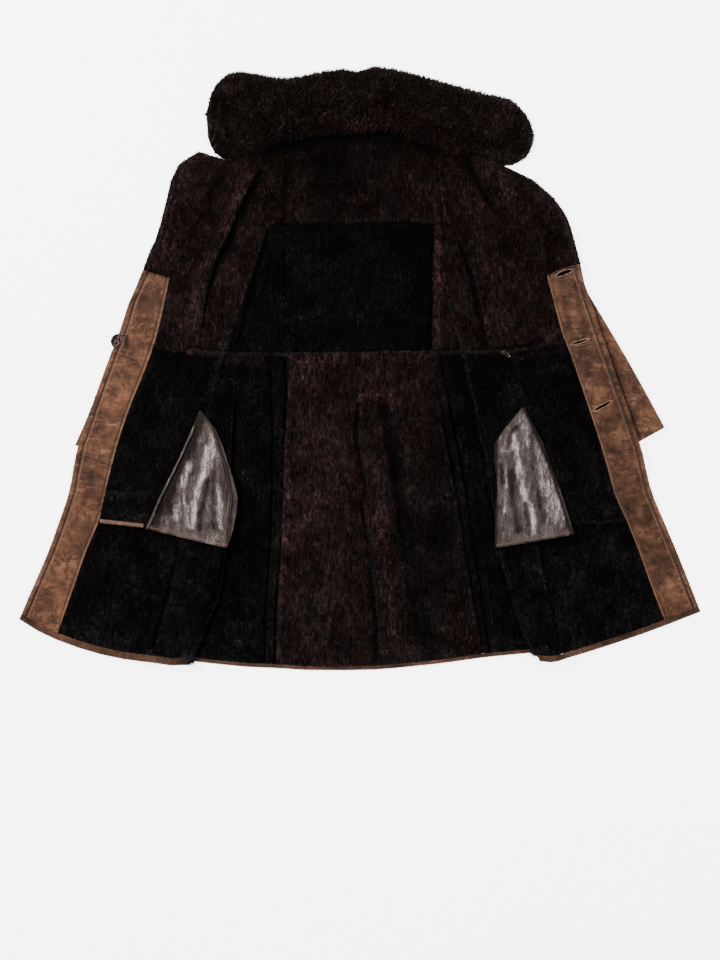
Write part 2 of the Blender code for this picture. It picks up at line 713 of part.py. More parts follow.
def fronts():
    """The fronts and gores, by side."""
    made = {}
    for side in "rl":
        breast = front_columns(side, BREAST_FOLD[side], 5, NEAR_FOLD)
        below = front_columns(side, SKIRT["gore_" + side], 4, NEAR_SEAM)
        gore_rows = joined(MIDDLE_ROWS, HEM_ROWS[side])
        at_fold, at_gore, at_side = (LOOSE / 2, 0), (ON_SEAM, 0), (LOOSE / 2, ON_SEAM)
        at_waist = (LOOSE / 2, ON_SEAM)
        pieces = (
            # node, slot, columns, rows, inner and outer edge, top edge, inner and outer gap, end gaps
            ("front_upper", "fur_brown", breast, UPPER_ROWS, "fold free", "neck", at_fold, (LOOSE / 2,) * 2),
            ("front_middle", "fur_black", below, MIDDLE_ROWS, "seam free", "seam", at_gore, at_waist),
            ("front_hem", "fur_black", below, HEM_ROWS[side], "seam free", "seam", at_gore, (ON_SEAM,) * 2),
            ("gore", "fur_black", gore_columns(side), gore_rows, "fold seam", "seam", at_side, at_waist),
        )
        made[side] = []
        for name, slot, columns, rows, kinds, top, gaps, ends in pieces:
            edges = (*in_order(side, *kinds.split()), top, "seam")
            gaps = (*in_order(side, *gaps), *ends)
            made[side].append(panel(f"{name}_{side}", slot, columns, rows, ground, edges, gaps))
    return made


def side_folds():
    """The folded-under layers at the sides of the skirt, in one rounded solid each."""
    for side in "rl":
        out = -1 if side == "r" else 1
        near = shift(SKIRT["fold_" + side], out * 2 * OVERHANG)
        far = shift(SKIRT["fold_" + side], out * PLEAT_DEPTH)
        columns = between(*in_order(side, near, far), 1, (5,), (5,))
        foot = shift(HEM_FRONT[side], FRONT_BAND[side] + 3)
        rows = between(level(PLEAT_SOLID_TOP), foot, 11, (5,), (5,))

        def full(x, y, columns=columns, rows=rows):
            height = pleat_rise(y) - PLEAT_CLEARANCE
            inside = min(x - columns[0](y), columns[-1](y) - x, rows[0](x) - y, y - rows[-1](x))
            return height + 0.5 * edge_height("fold", inside, height)

        tuck = (LAYER_NOTCH,) * 4
        wall(f"side_fold_{side}", "fur_black", columns, rows, floor, full, (0,) * 4, tuck, layers=2)


def sleeves():
    for side in "rl":
        wide = between(*SLEEVE_EDGES[side], 1)
        long = between(CAP, CUFF[side], 9)
        name = f"sleeve_under_{side}"
        wall(name, "suede", wide, long, floor, lambda x, y: SLEEVE_WALL, (0,) * 4, (3,) * 4)

        columns = between(*SLEEVE_EDGES[side], 1, NEAR_FREE, NEAR_FREE)
        rows = between(CAP, CUFF[side], 9, (), NEAR_FREE)

        def full(x, y, columns=columns, rows=rows):
            inside = min(x - columns[0](y), columns[-1](y) - x, y - rows[-1](x))
            return SLEEVE_WALL + edge_height("free", inside, SLEEVE_WALL)

        name = f"sleeve_top_{side}"
        wall(name, "suede", columns, rows, lambda x, y: SLEEVE_WALL + GAP, full, (0,) * 4)


def facing_wall(name, side, rows, ends):
    """A suede facing on the shaved edge of a front. ends are its gaps at the top and the foot."""
    edge = FRONTS["edge_" + side]

    def low(x, y):
        return ground(x, y) + SHAVED + GAP

    def full(x, y):
        rounded = 1 - min(abs(x - edge(y)) / NEAR_FREE[0], 1.0)
        return SUEDE * (0.45 + 0.55 * math.sqrt(1 - rounded**2))

    return wall(name, "suede", ZONE[side], rows, low, full, (*in_order(side, GAP, 0), *ends))


def facings():
    upper = joined(FACING_TO_WAIST, MIDDLE_TOP)
    below_r = joined(MIDDLE_LOW, HEM_ROWS["r"])
    below_l = joined(MIDDLE_CENTRE, MIDDLE_LOW, HEM_ROWS["l"])
    facing_wall("facing_upper_r", "r", upper, (GAP, ON_SEAM))
    facing_wall("facing_middle_r", "r", MIDDLE_CENTRE, (ON_SEAM, ON_SEAM))
    facing_wall("facing_lower_r", "r", below_r, (ON_SEAM, ON_SEAM))
    cut_buttonholes(facing_wall("facing_upper_l", "l", upper, (GAP, ON_SEAM)), BUTTONHOLES[:2])
    cut_buttonholes(facing_wall("facing_lower_l", "l", below_l, (ON_SEAM, ON_SEAM)), BUTTONHOLES[2:])


def cut_buttonholes(facing, holes):
    """Slits with pointed ends through a facing, and no deeper."""
    for i, (start, end) in enumerate(holes):
        start, end = np.array(start, float), np.array(end, float)
        along = (end - start) / np.linalg.norm(end - start)
        half = np.array((-along[1], along[0])) * BUTTONHOLE_GAPE / 2
        middle = (start + end) / 2
        bm = bmesh.new()
        ring = [bm.verts.new((*(spot * MM), 0.0)) for spot in (start, middle - half, end, middle + half)]
        grown = bmesh.ops.extrude_face_region(bm, geom=[bm.faces.new(ring)])["geom"]
        for item in grown:
            if isinstance(item, bmesh.types.BMVert):
                item.co.z = CUT_HEIGHT * MM
        bmesh.ops.recalc_face_normals(bm, faces=bm.faces)
        mesh = bpy.data.meshes.new("slit")
        bm.to_mesh(mesh)
        bm.free()
        cutter = bpy.data.objects.new(f"{facing.name}_slit_{i}", mesh)
        bpy.context.scene.collection.objects.link(cutter)
        cutter.hide_render = True
        cutter.display_type = "WIRE"
        slit = facing.modifiers.new(f"slit {i}", "BOOLEAN")
        slit.operation = "DIFFERENCE"
        slit.solver = "EXACT"
        slit.object = cutter


def band(name, columns, hem, width, low, gaps):
    """A turned-up hem: a strip of folded skin along the foot of the panels."""
    rows = between(shift(hem, width), hem, 1, (), (3,))

    def full(x, y):
        return HEM_HEIGHT + edge_height("free", 3 * (y - hem(x)), HEM_HEIGHT)

    return wall(name, "suede", columns, rows, low, full, gaps, (0, 0, 0, TUCK))


def hems():
    back_gaps = (LOOSE / 2, LOOSE / 2, GAP, 0)
    band("hem_back", joined(*skirt_columns()), HEM_BACK, BACK_BAND, floor, back_gaps)
    for side in "rl":
        front = front_columns(side, SKIRT["gore_" + side], 4, NEAR_SEAM)
        hem, width = HEM_FRONT[side], FRONT_BAND[side]
        gaps = (*in_order(side, ON_SEAM, 0), GAP, 0)
        band(f"hem_front_{side}", front, hem, width, ground, gaps)
        gaps = (*in_order(side, LOOSE / 2, ON_SEAM), GAP, 0)
        band(f"hem_gore_{side}", gore_columns(side), hem, width, ground, gaps)


def collar_foot(x):
    """The collar's lower edge: free at its ends, then on the neck line and the stand."""
    if x < COLLAR_END_AT["r"]:
        return COLLAR_ENDS["r"](x)
    if x > COLLAR_END_AT["l"]:
        return COLLAR_ENDS["l"](x)
    return NECK(x) + (STAND_WIDTH(x) if STAND_FROM - 1 < x < STAND_TO + 1 else 0.0)


def collar_places():
    """x of the collar's upright lines: close at its round ends, and where the panels have theirs."""
    start, end = COLLAR_SPAN
    places = [start + step for step in (0.5, 3, 8, 15, 24)]
    places += [end - step for step in (0.5, 3, 8, 16, 26, 38)]
    places += [STAND_FROM - 2.5, STAND_FROM, STAND_TO, STAND_TO + 2.5]
    yoke = between(UPPER["side_r"], UNDER_BREAST["l"], 9, NEAR_SEAM, NEAR_SEAM)
    underarm = between(UNDER_BREAST["r"], UPPER["side_r"], 2, NEAR_SEAM, NEAR_SEAM)
    breast = {side: front_columns(side, BREAST_FOLD[side], 5, NEAR_FOLD) for side in "rl"}
    for column in (*breast["r"], *underarm, *yoke, *breast["l"]):
        x = crossing(column, NECK)[0]
        if start < x < end and min(abs(x - other) for other in places) > 4:
            places.append(x)
    return sorted(places)


def collar():
    places = collar_places()
    rows = between(COLLAR_TOP, collar_foot, 4, (3, 10), (3, 10))

    def full(x, y):
        inside = min(COLLAR_TOP(x) - y, x - places[0], places[-1] - x)
        height = COLLAR_WALL + relief(x, y) + edge_height("free", 0.7 * inside, COLLAR_WALL)
        kind = "seam" if COLLAR_END_AT["r"] < x < COLLAR_END_AT["l"] else "free"
        height += edge_height(kind, 0.8 * (y - collar_foot(x)), COLLAR_WALL)
        return max(height, 0.4 * COLLAR_WALL)

    columns = [level(x) for x in places]
    gaps = (0, 0, 0, LOOSE / 2)
    wall("collar", "collar_fur", columns, rows, floor, full, gaps, (TUCK, TUCK, TUCK, 0))

    def stand_full(x, y):
        inside = min(collar_foot(x) - y, y - NECK(x))
        return STAND_WALL + edge_height("fold", inside, 0.8 * STAND_WALL)

    columns = [level(x) for x in places if STAND_FROM <= x <= STAND_TO]
    rows = between(collar_foot, NECK, 2, (3,), (3,))
    wall("collar_stand", "fur_brown", columns, rows, floor, stand_full, (GAP, GAP, LOOSE / 2, LOOSE / 2))


def on_fur(clear):
    """A height above the fronts' fur, which goes on level past their folds."""
    return lambda x, y: ground(x, y) + WALL + max(relief(x, y), 0.0) + clear


def pockets(front):
    on_under = on_fur(GAP + PLY + GAP)
    for side in "rl":
        left, right = POCKETS[side]["left"], POCKETS[side]["right"]
        top, foot = POCKET_TOP[side], POCKET_FOOT[side]
        columns = between(left, right, 4, (4,), (4,))
        rows = between(top, foot, 8, (4,), (4,))
        name = f"pocket_ply_under_{side}"
        bed = front[side]
        under = wall(
            name, "pocket_leather", columns, rows, on_fur(GAP), lambda x, y: PLY, (0,) * 4, over=bed
        )

        def creased(x, y, side=side):
            return PLY + max(relief(x, y, POCKET_CREASES[side]), -0.4)

        if side == "r":
            columns = between(shift(left, EDGING_GAP), right, 4, (4,), (4,))
            rows = between(shift(top, -26), foot, 7, (4,), (4,))
        name = f"pocket_ply_top_{side}"
        bed = [*front[side], under]
        wall(name, "pocket_leather", columns, rows, on_under, creased, (0,) * 4, over=bed)
        if side == "r":
            columns = [shift(left, 0.5), shift(left, 4.5)]
            rows = between(shift(top, -26), shift(foot, 1), 9)
            name = "pocket_edging_r"
            wall(name, "pocket_leather", columns, rows, on_under, lambda x, y: 1.6, (0,) * 4, over=bed)

    columns = between(level(-457), level(-380), 4)
    rows = [shift(POCKET_LEVEL, 3.5), shift(POCKET_LEVEL, -3.5)]
    bed = front["r"]
    in_seam = on_fur(GAP - SEAM_DIP)
    wall("stay_tape_r", "suede", columns, rows, in_seam, lambda x, y: 1.2, (0,) * 4, over=bed)


def tube(name, slot, points, radius, closed):
    """A round wire or thong along its points."""
    curve = bpy.data.curves.new(name, "CURVE")
    curve.dimensions = "3D"
    curve.bevel_depth = radius * MM
    curve.bevel_resolution = 1
    curve.use_fill_caps = not closed
    spline = curve.splines.new("POLY")
    spline.points.add(len(points) - 1)
    for point, place in zip(spline.points, points):
        point.co = (*(c * MM for c in place), 1)
    spline.use_cyclic_u = closed
    curve.materials.append(material(slot))
    piece = bpy.data.objects.new(name, curve)
    bpy.context.scene.collection.objects.link(piece)
    return piece


def button(name, x, y, low):
    """A domed leather button, turned from its half section."""
    section = ((0, 0), (0.62, 0), (0.9, 0.22), (1.0, 0.5), (0.9, 0.78), (0.55, 0.97), (0, 1.0))
    bm = bmesh.new()
    points = [bm.verts.new((r * BUTTON_RADIUS, 0, h * BUTTON_HEIGHT)) for r, h in section]
    edges = [bm.edges.new(pair) for pair in zip(points, points[1:])]
    bmesh.ops.spin(
        bm,
        geom=points + edges,
        axis=(0, 0, 1),
        cent=(0, 0, 0),
        steps=14,
        angle=2 * math.pi,
        use_merge=True,
    )
    bmesh.ops.remove_doubles(bm, verts=bm.verts, dist=0.001)
    bmesh.ops.translate(bm, verts=bm.verts, vec=(x, y, low))
    return finish(name, "horn", bm)


def small_parts(front):
    on_sleeve = 2 * SLEEVE_WALL + 2 * GAP
    for i, (x, y) in enumerate(BUTTONS, 1):
        button(f"button_r_{i}", x, y, on_sleeve)

    x, y = BUTTONS[1]
    on_facing = ground(x, y) + SHAVED + GAP + SUEDE + GAP
    turns = 14
    knot = []
    for i in range(turns + 1):
        turn = 1.5 * math.pi * i / turns
        along = 11 * math.cos(turn)
        across = 5.5 * math.sin(turn) + 0.4 * along
        knot.append((x + 3 + along, y + 2 + across, on_facing + 3 + 3.2 * i / turns))
    tube("button_knot_r", "horn", knot, 2.8, False)

    x, y = 255.0, 23.0
    on_seam = Beneath(front["l"]).top(x, y) + 1.6
    ring = []
    for i in range(16):
        turn = 2 * math.pi * i / 16
        along = 7.5 * math.cos(turn)
        ring.append((x + along, y - 0.25 * along + 3.8 * math.sin(turn), on_seam))
    tube("waist_loop_l", "wire", ring, 0.9, True)


def stand_on_middle():
    """Moves the coat so that the middle of its box is over the origin and its foot is at 0."""
    graph = bpy.context.evaluated_depsgraph_get()
    corners = []
    for piece in bpy.context.scene.objects:
        if piece.hide_render:
            continue
        mesh = piece.evaluated_get(graph).to_mesh()
        spots = np.array([vertex.co for vertex in mesh.vertices])
        corners += [spots.min(0), spots.max(0)]
        piece.evaluated_get(graph).to_mesh_clear()
    low, high = np.min(corners, 0), np.max(corners, 0)
    for piece in bpy.context.scene.objects:
        piece.location = (-(low[0] + high[0]) / 2, -(low[1] + high[1]) / 2, -low[2])


def main():
    for old in list(bpy.data.objects):
        bpy.data.objects.remove(old)
    back_pieces()
    beside = back_skirt()
    front = fronts()
    side_folds()
    sleeves()
    facings()
    hems()
    collar()
    pockets({side: [*front[side], beside[side]] for side in "rl"})
    small_parts(front)
    stand_on_middle()


main()
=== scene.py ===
"""A shearling coat laid out open on its back: skins with their pile, suede facings, hems and sleeves,
leather pocket bags, and the small things sewn to them.

The lines given here are in the coat's own millimetres, with x to the wearer's left and y to the collar."""

import math

import bmesh
import bpy
import numpy as np
from bpy.props import FloatProperty, FloatVectorProperty, PointerProperty
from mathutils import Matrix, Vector
from mathutils.bvhtree import BVHTree


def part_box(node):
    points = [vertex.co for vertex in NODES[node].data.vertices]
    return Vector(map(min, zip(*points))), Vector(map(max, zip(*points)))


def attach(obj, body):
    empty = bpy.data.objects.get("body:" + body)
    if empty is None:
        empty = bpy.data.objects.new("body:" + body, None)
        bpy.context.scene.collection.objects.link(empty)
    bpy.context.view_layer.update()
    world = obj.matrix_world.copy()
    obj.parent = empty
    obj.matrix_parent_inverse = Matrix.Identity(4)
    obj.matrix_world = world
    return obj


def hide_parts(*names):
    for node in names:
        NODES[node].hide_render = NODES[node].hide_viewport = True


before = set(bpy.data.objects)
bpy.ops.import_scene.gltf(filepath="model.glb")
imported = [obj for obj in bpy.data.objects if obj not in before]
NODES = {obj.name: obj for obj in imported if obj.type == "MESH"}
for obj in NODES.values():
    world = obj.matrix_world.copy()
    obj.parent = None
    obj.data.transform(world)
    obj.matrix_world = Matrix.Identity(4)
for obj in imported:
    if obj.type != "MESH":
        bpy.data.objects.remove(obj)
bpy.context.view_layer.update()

bl_info = {
    "name": "Shearling Coat",
    "version": (1, 0, 0),
    "blender": (4, 5, 0),
    "location": "3D View > Sidebar > Coat",
    "description": "Dresses a laid-out shearling coat in pile, suede and leather",
    "category": "Object",
}

MM = 0.001

# The coat's millimetres start a little off the frame's origin
FIRST_BUTTON = (-0.365, 0.156)  # m: the middle of button_r_1 in the coat's own measures
_low, _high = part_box("button_r_1")
OFF_X = (_low.x + _high.x) / 2 - FIRST_BUTTON[0]
OFF_Y = (_low.y + _high.y) / 2 - FIRST_BUTTON[1]


def to_coat(points):
    """x and y in the coat's millimetres, for points in metres."""
    return (points[:, 0] - OFF_X) / MM, (points[:, 1] - OFF_Y) / MM


def to_frame(x, y, z=0.0):
    """A point in metres, for the coat's x and y in millimetres and a height in metres."""
    return Vector((x * MM + OFF_X, y * MM + OFF_Y, z))


def deselect():
    for shown in list(bpy.context.selected_objects):
        shown.select_set(False)


def read(items, key, width=1, kind=np.float32):
    """A property of all items of a mesh, in rows of this width."""
    values = np.empty(len(items) * width, kind)
    items.foreach_get(key, values)
    return values.reshape(-1, width) if width > 1 else values


def tree_from(mesh):
    return BVHTree.FromPolygons([v.co for v in mesh.vertices], [p.vertices for p in mesh.polygons])


def place_piece(name, mesh):
    """An object for a mesh, which rides the coat."""
    piece = bpy.data.objects.new(name, mesh)
    bpy.context.scene.collection.objects.link(piece)
    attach(piece, "root")
    return piece


# What a user would change


def number_setting(name, description, default, **more):
    return FloatProperty(name=name, description=description, default=default, **more)


def length_setting(name, description, default):
    return number_setting(name, description, default, subtype="DISTANCE", unit="LENGTH")


def colour_setting(name, description, default):
    return FloatVectorProperty(name=name, description=description, default=default, size=3, subtype="COLOR")


class CoatPile(bpy.types.PropertyGroup):
    """Sizes and colours of the pile."""

    density: number_setting("Density", "Locks of pile on a square millimetre", 0.95, min=0.05, max=2.0)
    length: length_setting("Length", "Length of the clipped pile", 0.0072)
    collar_length: length_setting("Collar length", "Length of the collar's pile", 0.0072)
    lock_width: length_setting("Lock width", "Width of one lock at its root", 0.00105)
    brown: colour_setting("Brown", "Colour of the brown pile's tips", (0.0225, 0.0113, 0.0104))
    black: colour_setting("Black", "Colour of the near-black pile's tips", (0.0038, 0.0026, 0.0029))
    collar: colour_setting("Collar", "Colour of the collar pile's tips", (0.0250, 0.0172, 0.0146))


class CoatLeather(bpy.types.PropertyGroup):
    """Colours of the suede, the leather and the thread."""

    suede: colour_setting("Suede", "Main colour of the suede", (0.128, 0.0545, 0.0295))
    # Also the colour of the painted highlight on the facings' rolled edges and beside their seams
    suede_worn: colour_setting("Worn suede", "Colour where the nap is rubbed", (0.26, 0.130, 0.078))
    suede_dark: colour_setting("Dark suede", "Colour of stains and of the nap's shade", (0.058, 0.026, 0.016))
    bag: colour_setting("Pocket leather", "Colour of the pocket bags", (0.026, 0.0150, 0.0120))
    thread: colour_setting("Thread", "Colour of the sewing thread", (0.10, 0.052, 0.034))


class CoatStage(bpy.types.PropertyGroup):
    """The floor, the lights and the camera."""

    floor: colour_setting("Floor", "Colour of the floor", (0.92, 0.92, 0.92))
    glow: number_setting("Glow", "How much the floor lights up, like a lit table", 5.0, min=0.0)
    lens: number_setting("Lens", "Focal length in millimetres", 90.0, min=20.0, max=300.0)
    light: number_setting("Light", "Strength of the main light in watts", 105.0, min=0.0)
    around: number_setting("Surroundings", "Strength of the light all round", 0.5, min=0.0)


# Materials


class Value:
    """A shader socket that takes arithmetic."""

    def __init__(self, shader, socket):
        self.shader, self.socket = shader, socket

    def do(self, operation, *others):
        return self.shader.node("ShaderNodeMath", {"operation": operation}, self, *others)

    def __add__(self, other):
        return self.do("ADD", other)

    __radd__ = __add__

    def __sub__(self, other):
        return self.do("SUBTRACT", other)

    def __rsub__(self, other):
        return self.shader.node("ShaderNodeMath", {"operation": "SUBTRACT"}, other, self)

    def __mul__(self, other):
        return self.do("MULTIPLY", other)

    __rmul__ = __mul__

    def smooth(self, low, high):
        """0 under low and 1 over high, smooth between."""
        settings = {"interpolation_type": "SMOOTHSTEP"}
        return self.shader.node("ShaderNodeMapRange", settings, self, low, high, 0.0, 1.0)


class Shader:
    """A material and its nodes."""

    def __init__(self, name):
        self.material = bpy.data.materials.new(name)
        self.material.use_nodes = True
        self.tree = self.material.node_tree
        self.surface = self.tree.nodes["Principled BSDF"]

    def connect(self, socket, value):
        """Gives a socket a value, or a link to one."""
        if isinstance(value, Value):
            self.tree.links.new(value.socket, socket)
        else:
            socket.default_value = value

    def node(self, kind, settings=None, *values, out=None, **named):
        """A node of a type with its settings, then the values or links of its sockets, in order or by name.
        It gives the output of this name, or else its first."""
        made = self.tree.nodes.new(kind)
        for key, value in (settings or {}).items():
            setattr(made, key, value)
        for socket, value in zip([s for s in made.inputs if s.enabled], values):
            self.connect(socket, value)
        for key, value in named.items():
            self.connect(made.inputs[key.replace("_", " ")], value)
        return Value(self, made.outputs[out] if out else next(s for s in made.outputs if s.enabled))

    def place(self, scale=(1, 1, 1), turn=0.0):
        """Object coordinates in metres, turned about Z and stretched."""
        at = self.node("ShaderNodeTexCoord", out="Object")
        return self.node("ShaderNodeMapping", None, at, Rotation=(0, 0, turn), Scale=scale)

    def noise(self, place, scale, detail=2.0, rough=0.5, distort=0.0):
        settings = {"Scale": scale, "Detail": detail, "Roughness": rough, "Distortion": distort}
        return self.node("ShaderNodeTexNoise", None, Vector=place, **settings)

    def mix(self, share, first, second, blend="MIX"):
        """Two colours mixed."""
        settings = {"data_type": "RGBA", "blend_type": blend, "clamp_factor": True}
        colours = [colour if isinstance(colour, Value) else (*colour, 1.0) for colour in (first, second)]
        return self.node("ShaderNodeMix", settings, share, *colours)

    def shaded(self, colour, by):
        """A colour made lighter or darker."""
        return self.mix(1.0, colour, self.node("ShaderNodeCombineXYZ", None, by, by, by), "MULTIPLY")

    def attribute(self, name, out):
        return self.node("ShaderNodeAttribute", {"attribute_name": name}, out=out)

    def split(self, vector):
        """The three parts of a vector."""
        first = self.node("ShaderNodeSeparateXYZ", None, vector)
        return [Value(self, socket) for socket in first.socket.node.outputs]

    def bump(self, height, distance, strength=1.0):
        return self.node("ShaderNodeBump", None, Height=height, Distance=distance, Strength=strength)

    def finish(self, **sockets):
        for key, value in sockets.items():
            self.connect(self.surface.inputs[key.replace("_", " ")], value)
        return self.material


def scaled(colour, by):
    return tuple(min(c * by, 1.0) for c in colour)


def pile_material(name, colour, gloss):
    """Locks of pile: dark at the root, browner to the tip, with lighter and darker locks and patches, and the
    painted shade and light of folds, seams, tufts and rims that their tone carries.
    """
    s = Shader(name)
    along, tint, tone = s.split(s.attribute("strand", "Vector"))
    patches = s.noise(s.place(), 26.0, 3.0, 0.55)
    rusty = s.noise(s.place((1.0, 0.35, 1.0)), 60.0, 2.0, 0.6)
    rust = (colour[0] * 1.26, colour[1] * 1.08, colour[2] * 1.04)
    tips = s.mix(rusty.smooth(0.35, 0.7), scaled(colour, 0.85), rust)
    lit = s.mix(along.smooth(0.0, 0.85), scaled(colour, 0.30), tips)
    depth = tint * tint * 2.3 + 0.28
    mottle = s.noise(s.place((1.0, 0.6, 1.0), 0.1), 85.0, 3.0, 0.6)
    # tone is the locks' painted shade and light, with the patches' uneven colour
    shade = (patches.smooth(0.3, 0.7) * 0.8 + 0.55) * (mottle.smooth(0.2, 0.8) * 0.7 + 0.65) * tone * depth
    return s.finish(
        Base_Color=s.shaded(lit, shade),
        Roughness=gloss,
        Specular_IOR_Level=0.14,
        Sheen_Weight=0.03,
        Sheen_Roughness=0.45,
        Sheen_Tint=(0.85, 0.62, 0.52, 1.0),
    )


def undercoat_material(name, colour):
    """The dense short wool under the locks."""
    s = Shader(name)
    clumps = s.noise(s.place(), 240.0, 3.0, 0.6)
    patches = s.noise(s.place(), 30.0, 2.0, 0.5)
    dark, light = scaled(colour, 0.06), scaled(colour, 0.30)
    base = s.mix(clumps.smooth(0.35, 0.7) * (patches * 0.6 + 0.6), dark, light)
    return s.finish(Base_Color=base, Roughness=1.0, Specular_IOR_Level=0.03, Normal=s.bump(clumps, 0.002, 0.8))


OUTER_GROOVE, INNER_GROOVE = 10.5, 5.8  # mm from a facing's outer and inner edges
FAR = 100.0  # mm: no line is near


def near_to(distance, line, full, none):
    """1 within full of a line, 0 beyond none."""
    return 1.0 - (distance - line).do("ABSOLUTE").smooth(full, none)


def skin_material(name, colours):
    """The skin's flesh side: suede with a short nap, rubbed, stained and a little creased, with painted shade
    in its grooves, seams and wrinkles, painted highlights on its rolled edges, and a tone that holds painted
    shade and light on the facings and sleeves.
    """
    main, worn_and_highlight, dark = colours
    s = Shader(name)
    place = s.place()
    tone = s.attribute("tone", "Fac")
    cloud = s.noise(place, 16.0, 4.0, 0.6)
    stains = s.noise(place, 9.0, 5.0, 0.68, distort=0.8)
    smudges = s.noise(s.place((1.0, 0.6, 1.0), 0.4), 42.0, 4.0, 0.65, distort=0.5)
    nap = s.noise(place, 420.0, 3.0, 0.7)
    scuffs = s.noise(s.place((0.3, 1.0, 1.0), 0.5), 90.0, 4.0, 0.72)
    streaks = s.noise(s.place((1.0, 0.3, 1.0), 0.15), 55.0, 4.0, 0.6, distort=0.6)
    base = s.mix(cloud.smooth(0.32, 0.68), scaled(main, 0.54), scaled(main, 1.38))
    base = s.mix(streaks.smooth(0.52, 0.75) * 0.45, base, scaled(main, 0.42))
    base = s.mix(streaks.smooth(0.46, 0.25) * 0.30, base, worn_and_highlight)
    base = s.mix(stains.smooth(0.48, 0.68) * 0.75, base, dark)
    base = s.mix(smudges.smooth(0.52, 0.74) * 0.60, base, scaled(dark, 0.85))
    base = s.mix(scuffs.smooth(0.50, 0.72) * 0.60, base, worn_and_highlight)
    base = s.mix(scuffs.smooth(0.46, 0.28) * 0.55, base, scaled(dark, 0.9))
    veins = s.noise(place, 30.0, 6.0, 0.62, distort=1.4) * 100.0
    cracks = near_to(veins, 50.0, 0.3, 3.4) * smudges.smooth(0.34, 0.60)
    base = s.mix(cracks * 0.60, base, scaled(dark, 0.6))
    # tone: the piece's uneven colour with its painted shade and light
    base = s.shaded(base, (nap * 1.5 + 0.25) * tone)
    outer, inner, line = s.split(s.attribute("lines", "Vector"))
    uneven = smudges.smooth(0.30, 0.60) * 0.5 + 0.5
    grooves = near_to(outer, OUTER_GROOVE, 0.5, 2.4)
    grooves = grooves.do("MAXIMUM", near_to(inner, INNER_GROOVE, 0.4, 1.9) * 0.7)
    grooves = grooves.do("MAXIMUM", near_to(line, 0.0, 0.2, 2.0) * uneven * 0.5)
    # Painted highlight on the rolled edges and beside the seams, with some wear
    rubbed_and_highlit = near_to(outer, OUTER_GROOVE + 3.0, 0.5, 3.0).do("MAXIMUM", near_to(inner, 2.0, 0.8, 3.0))
    rubbed_and_highlit = rubbed_and_highlit.do("MAXIMUM", near_to(line, 3.0, 0.3, 2.0) * 0.25)
    base = s.mix(rubbed_and_highlit * uneven * 0.42, base, worn_and_highlight)
    # Painted shade in the grooves, seams and deep wrinkles
    base = s.mix(grooves * (smudges * 0.5 + 0.55), base, scaled(dark, 0.25))
    pebble = s.noise(place, 200.0, 4.0, 0.6)
    relief = nap * 0.45 + pebble * 0.8 + scuffs * 1.3 + smudges * 2.0
    relief = relief + rubbed_and_highlit * 0.5 - grooves * 1.2 - cracks * 0.9
    return s.finish(
        Base_Color=base,
        Roughness=nap * 0.15 + 0.80,
        Specular_IOR_Level=0.18,
        Sheen_Weight=0.10,
        Sheen_Roughness=0.5,
        Sheen_Tint=(0.95, 0.75, 0.62, 1.0),
        Normal=s.bump(relief, 0.0012, 0.9),
    )


# The bags' painted sheen where the leather catches some light, and their painted glint on the brightest ridges
BAG_SHEEN, BAG_GLINT = (0.084, 0.063, 0.059), (0.72, 0.65, 0.63)


def bag_material(name, colour):
    """Soft glossy lining leather, creased along its length, with painted shade in the creases and painted sheen
    and glints on the ridges.
    """
    s = Shader(name)
    tone = s.attribute("tone", "Fac")
    wrinkles = s.noise(s.place((1.0, 0.25, 1.0), 0.1), 260.0, 4.0, 0.65, distort=1.0)
    fine = s.noise(s.place((1.0, 0.6, 1.0), 0.2), 620.0, 4.0, 0.7)
    wear_and_glints = s.noise(s.place((1.0, 0.35, 1.0)), 90.0, 5.0, 0.65, distort=0.4)
    level = tone + (wrinkles - 0.5) * 1.9 + (fine - 0.5) * 2.0 + (wear_and_glints - 0.5) * 0.8
    # Painted sheen, then painted glints, where the level is high
    base = s.mix(level.smooth(0.35, 1.35) * 0.85, colour, BAG_SHEEN)
    base = s.mix(level.smooth(1.12, 2.45) * 0.92, base, BAG_GLINT)
    # Painted shade where the level is low, in the creases and along the edges
    base = s.mix(level.smooth(0.65, 0.20), base, scaled(colour, 0.2))
    return s.finish(
        Base_Color=base,
        Roughness=0.60 - level.smooth(0.5, 1.5) * 0.28,
        Specular_IOR_Level=0.14,
        Normal=s.bump(wrinkles * 1.4 + fine * 0.6, 0.0016, 0.8),
    )


def strap_material(name, colour, gloss, shine=0.5, wear_and_glints=(0.35, 0.70, 0.7, 1.4)):
    """Plaited or cut leather of the small parts."""
    s = Shader(name)
    grain = s.noise(s.place(), 900.0, 3.0, 0.6)
    low, high, dull, bright = wear_and_glints
    # Wear, and for the plait a mosaic of painted glints and painted shade
    rubbed_and_highlit = s.noise(s.place(), 180.0, 3.0, 0.6).smooth(low, high)
    base = s.mix(rubbed_and_highlit, scaled(colour, dull), scaled(colour, bright))
    relief = s.bump(grain, 0.0004, 0.7)
    return s.finish(Base_Color=base, Roughness=grain * 0.25 + gloss, Specular_IOR_Level=shine, Normal=relief)


def wire_material():
    s = Shader("blackened wire")
    rub = s.noise(s.place(), 500.0, 3.0, 0.6)
    base = s.mix(rub.smooth(0.4, 0.65), (0.16, 0.12, 0.11), (0.52, 0.44, 0.41))
    return s.finish(Base_Color=base, Metallic=1.0, Roughness=rub * 0.3 + 0.25)


PILE_ROUGHNESS = {"brown": 0.50, "black": 0.48, "collar": 0.60}
